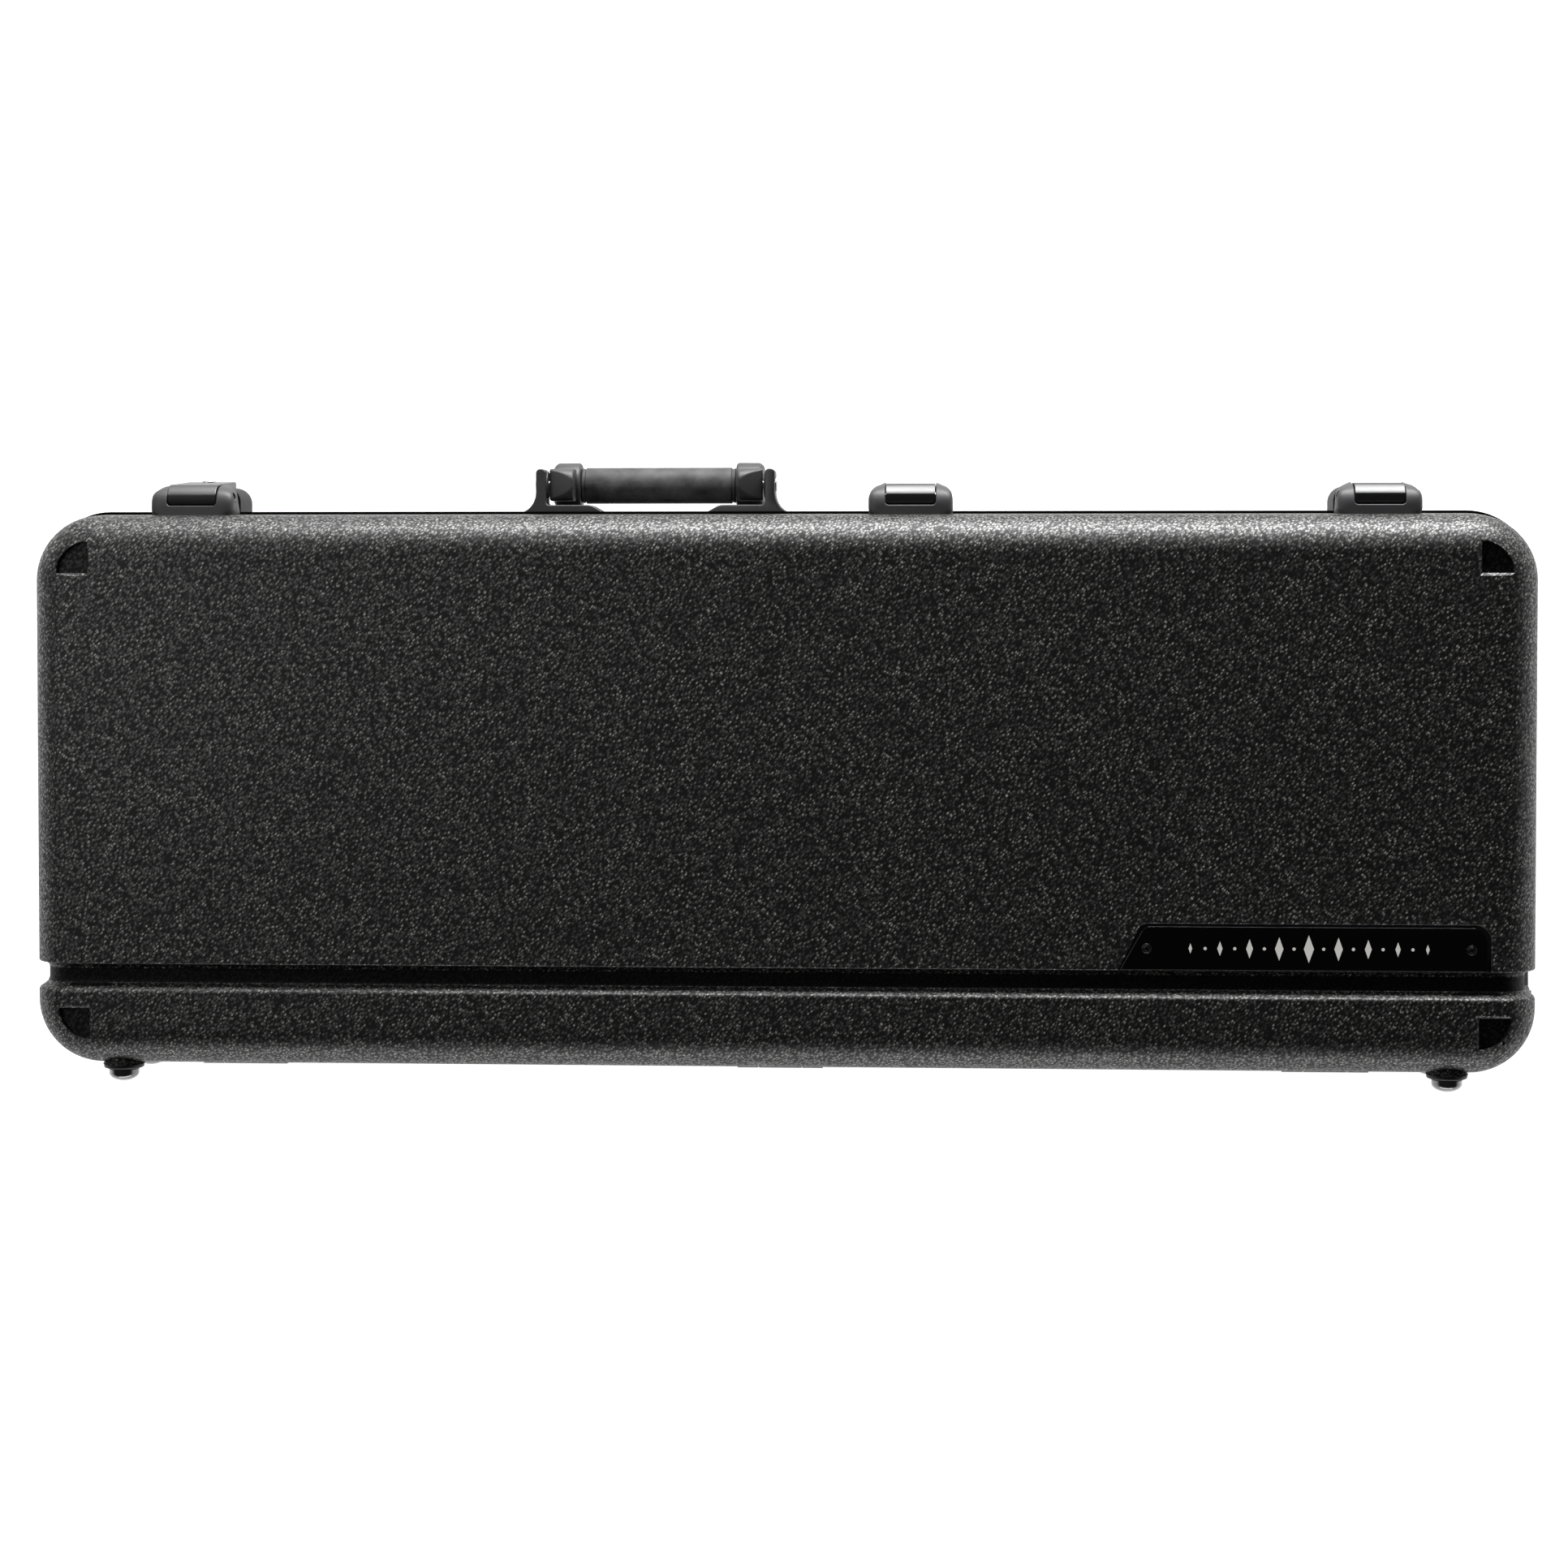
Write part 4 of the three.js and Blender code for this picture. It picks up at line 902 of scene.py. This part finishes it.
def hinge_leaf(name, node, spans, up):
    """A rounded leaf with its knuckles rolled round the pin, and three rivets."""
    low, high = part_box(node)
    pin = middle_of(node.replace("base_leaf", "pin").replace("lid_leaf", "pin"))
    far = high.z if up > 0 else low.z
    plate_near = pin.z + up * (KNUCKLE_RADIUS + 2 * FIT)
    levels = sorted((plate_near, far))
    leaf_y = HALF_WIDTH + FIT
    leaf = cuboid(name, (low.x, leaf_y, levels[0]), (high.x, leaf_y + LEAF_THICKNESS, levels[1]))
    with editing(leaf):
        pick(leaf, "EDGE", lambda edge: along(1)(edge) and abs(edge.verts[0].co.z - far) < TINY)
        round_off(LEAF_ROUND, 6)
    base_low, base_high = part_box(node.replace("lid", "base"))
    middle_x, width = (low.x + high.x) / 2, base_high.x - base_low.x
    for start, end in spans:
        start_x, end_x = middle_x + start * width, middle_x + end * width
        knuckle = axle("knuckle", start_x, end_x, pin, KNUCKLE_RADIUS, 32)
        neck_levels = sorted((pin.z, plate_near + up * LEAF_THICKNESS))
        neck = cuboid(
            "neck", (start_x, leaf_y, neck_levels[0]), (end_x, leaf_y + LEAF_THICKNESS, neck_levels[1]),
        )
        join(leaf, neck, knuckle)
    row_z = (plate_near + far) / 2
    for share in RIVET_PLACES:
        x = middle_x + share * width
        rivet = turned(
            "rivet", (x, leaf_y + LEAF_THICKNESS - FIT, row_z), (0, 1, 0),
            [(RIVET_RADIUS, 0), *dome(RIVET_RADIUS, FIT, RIVET_HEIGHT + FIT, 4)], 24,
        )
        join(leaf, rivet)
    return soften(leaf, 0.25 * MM, 2)


def pin_rod(name, node):
    low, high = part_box(node)
    return axle(name, low.x, high.x, (low + high) / 2, (high.z - low.z) / 2, 32)


def make_hinges():
    for place in PLACES:
        base_node, lid_node = f"hinge_base_leaf_{place}", f"hinge_lid_leaf_{place}"
        base = hinge_leaf(f"hinge_base_plate_{place}", base_node, BASE_KNUCKLES, -1)
        seat(base, "base", "black_steel", base_node)
        lid = hinge_leaf(f"hinge_lid_plate_{place}", lid_node, LID_KNUCKLES, 1)
        seat(lid, "lid", "black_steel", lid_node)
        pin = pin_rod(f"hinge_rod_{place}", f"hinge_pin_{place}")
        seat(soften(pin, 0.3 * MM, 2), "base", "steel", f"hinge_pin_{place}")


# Feet
def make_feet():
    for body in ("base", "lid"):
        for end in ("body_end", "neck_end"):
            cup_node, pad_node = f"foot_cup_{body}_{end}", f"foot_pad_{body}_{end}"
            low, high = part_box(cup_node)
            centre = Vector(((low.x + high.x) / 2, low.y, (low.z + high.z) / 2))
            flange, rise = (high.x - low.x) / 2, high.y - low.y
            pad_low, pad_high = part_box(pad_node)
            pad_radius, pad_rise = (pad_high.x - pad_low.x) / 2, pad_high.y - low.y
            cup = turned(f"foot_flange_{body}_{end}", centre, (0, 1, 0), [
                (flange, 0), (flange, 0.5 * rise), (0.97 * flange, 0.72 * rise),
                (pad_radius + 1.2 * MM, 0.95 * rise), (pad_radius + 0.3 * MM, rise),
            ])
            seat(smooth(cup, 40), body, "rim_plastic", cup_node)
            pad = turned(f"foot_dome_{body}_{end}", centre + Vector((0, rise, 0)), (0, 1, 0), [
                (pad_radius - 0.6 * MM, -0.5 * rise), (pad_radius - 0.6 * MM, 0),
                (pad_radius, 0.5 * MM), (pad_radius, 0.34 * (pad_rise - rise)),
                *dome(pad_radius, 0.34 * (pad_rise - rise), pad_rise - rise, 10),
            ])
            seat(smooth(pad, 40), body, "foot_rubber", pad_node)


# Handle
GRIP_RING_WIDTH = 1.6 * MM
GRIP_RING_DEPTH = 0.5 * MM
COLLAR_INNER_ROUND = 2.2 * MM
COLLAR_OUTER_ROUND = 5 * MM
LINK_WIDTH = 17 * MM
LINK_HALF_HEIGHT = 11.4 * MM
LINK_FACET = 6.5 * MM
LINK_EDGE = 0.9 * MM
EAR_THICKNESS = 7 * MM
EAR_WASHER_RADIUS = 9.5 * MM
EAR_WASHER_THICKNESS = 1.0 * MM
EAR_ROUND = 3 * MM
BRACKET_FOOT = 6.6 * MM
BRACKET_TOE = 1.2 * MM
BRACKET_FLARE = 12.8 * MM
BRACKET_FLARE_RISE = 14.6 * MM
BRACKET_SLOPE = 10.5 * MM
BRACKET_INNER_REACH = 9 * MM
PIVOT_HOLE = 3.3 * MM


def handle_grip():
    low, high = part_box("handle_grip")
    centre_y, centre_z = (low.y + high.y) / 2, (low.z + high.z) / 2
    radius, length = (high.y - low.y) / 2, high.x - low.x
    ring, dip = GRIP_RING_WIDTH, GRIP_RING_DEPTH
    end = [(radius - 2 * dip, 0), (radius - dip, dip), (radius - dip, ring), (radius - 2 * dip, ring + dip),
           (radius - 2 * dip, ring + 2 * dip), (radius, ring + 3 * dip)]
    far_end = [(r, length - along_x) for r, along_x in reversed(end)]
    grip = turned("soft_grip", (low.x, centre_y, centre_z), (1, 0, 0), end + far_end, 72)
    seat(smooth(grip, 50), "handle", "grip_rubber", "handle_grip")


def handle_arm():
    """The body end's arm: a collar, and a round link with a slanted facet."""
    low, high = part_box("handle_arm_body_end")
    grip_low, grip_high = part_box("handle_grip")
    y, grip_z = (low.y + high.y) / 2, (grip_low.z + grip_high.z) / 2
    radius = grip_z - low.z
    inner, outer = low.x, high.x
    length = outer - inner
    inner_round = [(radius - COLLAR_INNER_ROUND + across, COLLAR_INNER_ROUND - up) for across, up in arc(
        (0, 0), COLLAR_INNER_ROUND, COLLAR_INNER_ROUND, 90, 0, 5)]
    outer_round = [(radius - COLLAR_OUTER_ROUND + across, length - COLLAR_OUTER_ROUND + up)
                   for across, up in arc((0, 0), COLLAR_OUTER_ROUND, COLLAR_OUTER_ROUND, 12, 78, 5)]
    face = [(radius - COLLAR_OUTER_ROUND - 0.2 * MM, length)]
    arm = turned("arm", (inner, y, grip_z), (1, 0, 0), inner_round + outer_round + face, 72)
    link = cuboid(
        "link", (outer - LINK_WIDTH, y - LINK_HALF_HEIGHT, grip_z), (outer, y + LINK_HALF_HEIGHT, high.z),
    )
    with editing(link):
        pick(link, "EDGE", lambda edge: along(0)(edge) and abs(edge.verts[0].co.z - high.z) < TINY)
        round_off(LINK_HALF_HEIGHT - 2 * TINY, 16)
    cut_away(link, (outer - LINK_WIDTH, y, high.z), (LINK_FACET / LINK_WIDTH, 0, 1))
    tidy_faces(link)
    with editing(link):
        pick(link, "EDGE", lambda edge: edge.is_manifold and edge.calc_face_angle() > math.radians(12)
             and max(end.co.z for end in edge.verts) > grip_z + TINY)
        round_off(LINK_EDGE, 3)
    return smooth(join(arm, link), 40)


def handle_bracket():
    """The body end's bracket: an ear, a flared toe outside it and a sloped foot inside it."""
    low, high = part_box("handle_bracket_body_end")
    ear_inner = high.x - BRACKET_FLARE - EAR_THICKNESS
    ear_outer = high.x - BRACKET_FLARE
    top = -HALF_WIDTH - low.y
    flare_low = BRACKET_TOE + BRACKET_FLARE_RISE
    inner = low.x - BRACKET_INNER_REACH
    slope_top = inner + BRACKET_SLOPE
    plan = [
        (inner, -WALL / 2), (inner, BRACKET_TOE), (slope_top - 2 * MM, BRACKET_FOOT - 0.7 * MM),
        (slope_top, BRACKET_FOOT - 0.15 * MM), (slope_top + 2 * MM, BRACKET_FOOT),
        *arc((ear_inner - 2.4 * MM, BRACKET_FOOT + 2.4 * MM), 2.4 * MM, 2.4 * MM, -90, 0, 4),
        *arc((ear_inner + EAR_ROUND, top - EAR_ROUND), EAR_ROUND, EAR_ROUND, 180, 90, 5),
        *arc((ear_outer - EAR_ROUND, top - EAR_ROUND), EAR_ROUND, EAR_ROUND, 90, 0, 5),
        *arc((high.x, flare_low), BRACKET_FLARE, BRACKET_FLARE_RISE, 180, 262, 14),
        (high.x, BRACKET_TOE * 0.8), (high.x, -WALL / 2),
    ]
    bracket = drawn(
        "bracket", [(x, -HALF_WIDTH - up, low.z) for x, up in plan], (0, 0, high.z - low.z),
    )
    pin = middle_of("handle_pin_body_end")
    washer_start, washer_end = ear_inner - EAR_WASHER_THICKNESS, ear_outer - EAR_THICKNESS / 2
    join(bracket, axle("washer", washer_start, washer_end, pin, EAR_WASHER_RADIUS))
    cut(bracket, axle("hole", ear_inner - OVERRUN, high.x, pin, PIVOT_HOLE, 40))
    return soften(bracket, 0.9 * MM, 3, 40)


def pivot_pin():
    low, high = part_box("handle_pin_body_end")
    y, z = (low.y + high.y) / 2, (low.z + high.z) / 2
    head, shank, length = (high.y - low.y) / 2, 3 * MM, high.x - low.x
    head_low = length - 1.2 * MM
    return turned("pivot", (low.x, y, z), (1, 0, 0), [
        (shank - 0.4 * MM, 0), (shank, 0.4 * MM), (shank, head_low), (head, head_low),
        *dome(head, head_low + 0.2 * MM, length, 5),
    ], 40)


def make_handle():
    centre_x = middle_of("handle_grip").x
    handle_grip()
    made = (
        (handle_arm(), "handle_arm", "handle_collar", "handle", "handle_plastic"),
        (handle_bracket(), "handle_bracket", "handle_mount", "base", "handle_plastic"),
        (smooth(pivot_pin(), 40), "handle_pin", "handle_pivot", "base", "steel"),
    )
    for source, node, name, body, slot in made:
        other = twin(source, f"{name}_neck_end", mirror_x=centre_x)
        source.name = f"{name}_body_end"
        for piece, end in ((source, "body_end"), (other, "neck_end")):
            seat(piece, body, slot, f"{node}_{end}")


# Latches, modelled at the middle latch and copied to the others
LOCKED_LATCH = "body_end"
HOUSING_FLOOR = 2.6 * MM
SILL_THICKNESS = 2.4 * MM
WINDOW_SILL = 5.6 * MM
WINDOW_ROUND = 2.4 * MM
HOUSING_SIDE_LOOP = 10.5 * MM
HOUSING_END_INSET = 8 * MM
SHOULDER_FROM = 0.8
SHOULDER_INSET = 3 * MM
SHOULDER_DROP = 3 * MM
KEEPER_SHOULDER = 11 * MM
KEEPER_END_ROUND = 6 * MM
KEEPER_FLOOR = 2.6 * MM
LEVER_GAP = 0.4 * MM
BARREL_RADIUS = 8.6 * MM
NOSE_BREAK = 1.2 * MM
TAIL_UNDER = 15.8 * MM
TAIL_ROUND = 2.2 * MM
PIN_HOLE = 2.9 * MM
LOCK_RADIUS = 5.4 * MM


def outwards(point):
    """A place in the plane of a latch's side view, from its height over the seam and off the wall."""
    up, off = point
    return Vector((0, -HALF_WIDTH - off, SEAM + up))


def lever_pin():
    """The lever's axis, as its height over the seam and off the wall."""
    pin = middle_of("latch_pin_middle")
    return pin.z - SEAM, -HALF_WIDTH - pin.y


def lever_opening():
    """The gap for the middle latch's lever along the case."""
    low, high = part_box("latch_lever_middle")
    return low.x - LEVER_GAP, high.x + LEVER_GAP


def latch_housing():
    """The lever's cover: a rounded hood with a window, and cheeks that carry the pin."""
    low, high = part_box("latch_housing_middle")
    front, top = high.z - SEAM, -HALF_WIDTH - low.y
    profile = [
        (FIT, -WALL / 2), (FIT, top), (0.3 * front, top), (0.62 * front, 0.93 * top),
        (0.88 * front, 0.72 * top), (front, 0.42 * top), (front, 0.12 * top), (front, -WALL / 2),
    ]
    start = Vector((low.x, 0, 0))
    body = drawn("housing", [outwards(point) + start for point in profile], (high.x - low.x, 0, 0))
    with editing(body):
        for x in (low.x + HOUSING_SIDE_LOOP, high.x - HOUSING_SIDE_LOOP):
            slice_through((x, 0, 0), (1, 0, 0))
        pick(body, "FACE", lambda face: abs(face.normal.x) > LEVEL)
        bpy.ops.mesh.inset(thickness=HOUSING_END_INSET, use_individual=True)
        pick(body, "EDGE", lambda edge: at_level(2, SEAM + FIT)(edge)
             or at_level(1, -HALF_WIDTH + WALL / 2)(edge))
        bpy.ops.transform.edge_crease(value=1)
        for x, inwards in ((low.x, 1), (high.x, -1)):
            pick(body, "VERT", lambda point: abs(point.co.x - x) < TINY
                 and point.co.y < -HALF_WIDTH - SHOULDER_FROM * top)
            bpy.ops.transform.translate(value=(inwards * SHOULDER_INSET, SHOULDER_DROP, 0))
    apply_modifier(body, "SUBSURF", levels=2, render_levels=2)
    start_x, end_x = lever_opening()
    sill_y = -HALF_WIDTH - WINDOW_SILL
    window = cuboid(
        "window", (start_x, low.y - OVERRUN, low.z + OVERRUN), (end_x, sill_y, high.z + OVERRUN),
    )
    with editing(window):
        pick(window, "EDGE", lambda edge: along(2)(edge) and abs(edge.verts[0].co.y - sill_y) < TINY)
        round_off(WINDOW_ROUND, 5)
    channel = cuboid(
        "channel", (start_x, low.y - OVERRUN, low.z - OVERRUN),
        (end_x, -HALF_WIDTH - HOUSING_FLOOR, high.z - SILL_THICKNESS),
    )
    hole = axle("hole", low.x - OVERRUN, high.x + OVERRUN, outwards(lever_pin()), PIN_HOLE, 40)
    cut(body, window, channel, hole)
    return soften(body, 0.7 * MM, 3, 38)


def latch_keeper():
    """The catch on the base: cheeks either side of the lever, and the bar for the hook."""
    low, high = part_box("latch_keeper_middle")
    start_x, end_x = lever_opening()
    body = cuboid("keeper", low, high)
    with editing(body):
        pick(body, "EDGE", lambda edge: along(2)(edge) and abs(edge.verts[0].co.y - low.y) < TINY)
        round_off(KEEPER_SHOULDER, 12)
        pick(body, "EDGE", lambda edge: at_level(2, low.z)(edge) and not at_level(1, high.y)(edge))
        round_off(KEEPER_END_ROUND, 8)
    cut(body, cuboid(
        "channel", (start_x, low.y - OVERRUN, low.z - OVERRUN),
        (end_x, -HALF_WIDTH - KEEPER_FLOOR, high.z + OVERRUN),
    ))
    bar = cuboid(
        "bar", (start_x - 2 * MM, -HALF_WIDTH - 10.8 * MM, SEAM - 16 * MM),
        (end_x + 2 * MM, -HALF_WIDTH - 5.4 * MM, SEAM - 12 * MM),
    )
    return soften(join(body, bar), 0.5 * MM, 2, 38)


def latch_lever(name, node, lock=None):
    """The lever in side view: a tail, a bulged nose with a sharp break, and a round heel at its pin."""
    low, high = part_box(node)
    pin_up, pin_off = lever_pin()
    tail, top, front = low.z - SEAM, -HALF_WIDTH - low.y, high.z - SEAM
    nose_top = pin_off + BARREL_RADIUS
    nose_break = pin_off + NOSE_BREAK
    bulge = [(pin_up + 1.2 * MM, nose_top - 0.2 * MM), (pin_up + 2.7 * MM, nose_top - 0.95 * MM),
             (pin_up + 4.2 * MM, nose_top - 2.15 * MM), (pin_up + 5.8 * MM, nose_top - 3.7 * MM),
             (pin_up + 7.3 * MM, nose_top - 5.4 * MM), (front, nose_break)]
    view = [
        (tail, TAIL_UNDER + TAIL_ROUND),
        *arc((tail + TAIL_ROUND, top - TAIL_ROUND), TAIL_ROUND, TAIL_ROUND, 180, 96, 4),
        (pin_up, nose_top), *bulge,
        *arc((pin_up, pin_off), BARREL_RADIUS, BARREL_RADIUS, -20, -104, 10),
        (pin_up - 5.2 * MM, pin_off - 4.6 * MM), (pin_up - 7.2 * MM, TAIL_UNDER - 0.6 * MM),
        (pin_up - 9.4 * MM, TAIL_UNDER),
        *arc((tail + TAIL_ROUND, TAIL_UNDER + TAIL_ROUND), TAIL_ROUND, TAIL_ROUND, 270, 200, 4),
    ]
    start = Vector((low.x, 0, 0))
    lever = drawn(name, [outwards(point) + start for point in view], (high.x - low.x, 0, 0))
    if lock:
        middle = (lock[0] + lock[1]) / 2
        cut(lever, rod(
            "lock_hole", (middle.x, low.y - OVERRUN, middle.z), (middle.x, high.y + OVERRUN, middle.z),
            LOCK_RADIUS + FIT, sides=64,
        ))
    return soften(lever, 0.5 * MM, 2, 24)


def lock_face(node):
    """The key cylinder: a bright ring round a sunk face with its slot."""
    low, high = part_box(node)
    centre = Vector(((low.x + high.x) / 2, high.y, (low.z + high.z) / 2))
    radius, length = (high.x - low.x) / 2, high.y - low.y
    cylinder = turned("lock_barrel", centre, (0, -1, 0), [
        (radius, 0), (radius, length - 0.5 * MM), (radius - 0.5 * MM, length),
        (radius - 1.3 * MM, length), (radius - 1.6 * MM, length - 0.5 * MM),
    ], 64)
    half_width, half_height = 0.65 * MM, 3.2 * MM
    slot = cuboid(
        "slot", (centre.x - half_width, low.y - OVERRUN, centre.z - half_height),
        (centre.x + half_width, low.y + 2 * MM, centre.z + half_height),
    )
    return soften(cut(cylinder, slot), 0.12 * MM, 2)


def make_latches():
    middle_x = middle_of("latch_lever_middle").x
    sources = (
        (latch_housing(), "latch_housing", "latch_cover", "lid", "latch_plastic"),
        (latch_keeper(), "latch_keeper", "latch_catch", "base", "keeper_painted_shade_plastic"),
    )
    for source, node, name, body, finish in sources:
        for place in PLACES:
            shift = Vector((middle_of(f"latch_lever_{place}").x - middle_x, 0, 0))
            seat(twin(source, f"{name}_{place}", shift), body, finish, f"{node}_{place}")
        bpy.data.objects.remove(source)
    for place in PLACES:
        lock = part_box("lock_cylinder") if place == LOCKED_LATCH else None
        lever = latch_lever(f"latch_flap_{place}", f"latch_lever_{place}", lock)
        seat(lever, f"lever_{place}", "lever_plastic", f"latch_lever_{place}")
        pin = pin_rod(f"latch_rod_{place}", f"latch_pin_{place}")
        seat(soften(pin, 0.5 * MM, 3), "lid", "steel", f"latch_pin_{place}")
    seat(lock_face("lock_cylinder"), "lock", "steel", "lock_cylinder")


# Nameplate
SCREW_RING = 3.3 * MM
SCREW_SOCKET = 1.3 * MM


def make_nameplate():
    low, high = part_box("nameplate")
    plate = plate_form("gloss_plate", 0, low.z, high.z)
    seat(soften(plate, 0.45 * MM, 3), "lid", "plate_gloss", "nameplate")
    for side in ("left", "right"):
        node = f"nameplate_screw_{side}"
        middle = middle_of(node)
        screw = turned(f"plate_screw_{side}", (middle.x, middle.y, high.z), (0, 0, 1), [
            (1.6 * MM, -1.5 * MM), (1.6 * MM, 0.05 * MM), (SCREW_RING, 0.05 * MM),
            (SCREW_RING, 0.35 * MM), (SCREW_RING - 0.4 * MM, 0.6 * MM), (2.5 * MM, 0.6 * MM),
            (2.35 * MM, 0.35 * MM), (2.1 * MM, 0.35 * MM), (1.9 * MM, 0.8 * MM), (1.0 * MM, 1.1 * MM),
        ], 48)
        top = (middle.x, middle.y, high.z + 3 * MM)
        socket = rod("socket", (middle.x, middle.y, high.z + 0.1 * MM), top, SCREW_SOCKET, sides=6)
        seat(soften(cut(screw, socket), 0.08 * MM, 2), "lid", "black_steel", node)


# Carried-over solids: the hooks, the backing plates and the handle's core
def dress_solids():
    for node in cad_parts.values():
        for slot in node.material_slots:
            slot.material = FINISHES["steel"]


# Studio: a white floor and horizon, a dark ceiling over the camera, and soft boxes round the case
CEILING = 0.03
FILL = 0.27
FLOOR_GLOW = 0.86
FLOOR_SHADE = 0.75


def studio_floor():
    bpy.ops.mesh.primitive_plane_add(size=14, location=(0, 0, BASE_LOW.z - TINY))
    floor = bpy.context.object
    floor.name = "floor"
    finish = Finish("floor_white", (FLOOR_SHADE,) * 3, 0.9, Specular_IOR_Level=0.0)
    glow = finish.node("ShaderNodeEmission", inputs={"Strength": finish.shows_background() * FLOOR_GLOW})
    lit = Wire(finish, finish.shader.outputs[0])
    both = finish.node("ShaderNodeAddShader", inputs={0: lit, 1: glow})
    finish.link(both, finish.tree.nodes["Material Output"].inputs["Surface"])
    floor.data.materials.append(finish.material)


def studio_world():
    world = bpy.data.worlds.new("studio")
    bpy.context.scene.world = world
    world.use_nodes = True
    graph = Graph(world.node_tree)
    direction = graph.node("ShaderNodeTexCoord", output="Generated")
    height = graph.node("ShaderNodeSeparateXYZ", inputs={0: direction}, output="Z")
    backdrop = graph.node("ShaderNodeMapRange", {"interpolation_type": "SMOOTHSTEP"}, {
        "Value": height, "From Min": 0.05, "From Max": 0.4, "To Min": 1.0, "To Max": CEILING,
    })
    camera, shown = graph.ray_is("Camera"), graph.shows_background()
    strength = camera + (shown - camera) * backdrop + (1 - shown) * FILL
    background = graph.tree.nodes["Background"]
    background.inputs["Color"].default_value = (1, 1, 1, 1)
    graph.link(strength, background.inputs["Strength"])


def softbox(name, place, aim, width, height, radiance):
    bpy.ops.object.light_add(type="AREA", location=place)
    lamp = bpy.context.object
    lamp.name = name
    lamp.rotation_euler = (Vector(aim) - Vector(place)).to_track_quat("-Z", "Y").to_euler()
    lamp.data.shape = "RECTANGLE"
    lamp.data.size, lamp.data.size_y = width, height
    lamp.data.energy = math.pi * width * height * radiance
    lamp.visible_camera = False


def studio_lamps():
    softbox("handle_side_box", (-0.4, -2.3, 0.36), (-0.15, -0.15, 0.08), 2.2, 0.66, 30.0)
    softbox("handle_side_top_box", (0.3, -2.0, 1.35), (0.1, -0.1, 0.08), 3.0, 0.6, 1.6)
    softbox("body_end_box", (1.35, -0.5, 1.7), (0.45, -0.05, 0.1), 0.8, 1.2, 2.4)
    softbox("hinge_side_box", (-0.1, 2.4, 0.5), (0, 0.1, 0.05), 3.0, 0.6, 4.0)


# Camera at the photograph's angle
CAMERA_PLACE = Vector((-0.1248, -0.1415, 2.276))
CAMERA_FORWARD = Vector((0.0553, 0.0301, -0.9980))
CAMERA_RIGHT = Vector((-0.9985, 0.0, -0.0553))
CAMERA_LENS = 72.4
CAMERA_SHIFT_Y = -0.0652


def studio_camera():
    bpy.ops.object.camera_add()
    camera = bpy.context.object
    back = -CAMERA_FORWARD.normalized()
    right = CAMERA_RIGHT.normalized()
    turn = Matrix((right, back.cross(right), back)).transposed().to_4x4()
    camera.matrix_world = Matrix.Translation(CAMERA_PLACE) @ turn
    camera.data.lens = CAMERA_LENS
    camera.data.sensor_width = 36
    camera.data.shift_y = CAMERA_SHIFT_Y
    camera.data.clip_end = 50
    bpy.context.scene.camera = camera


make_shells()
make_rims()
make_foam()
make_hinges()
make_feet()
make_handle()
make_latches()
make_nameplate()
dress_solids()
studio_floor()
studio_world()
studio_lamps()
studio_camera()
bpy.context.scene.view_settings.view_transform = "Standard"
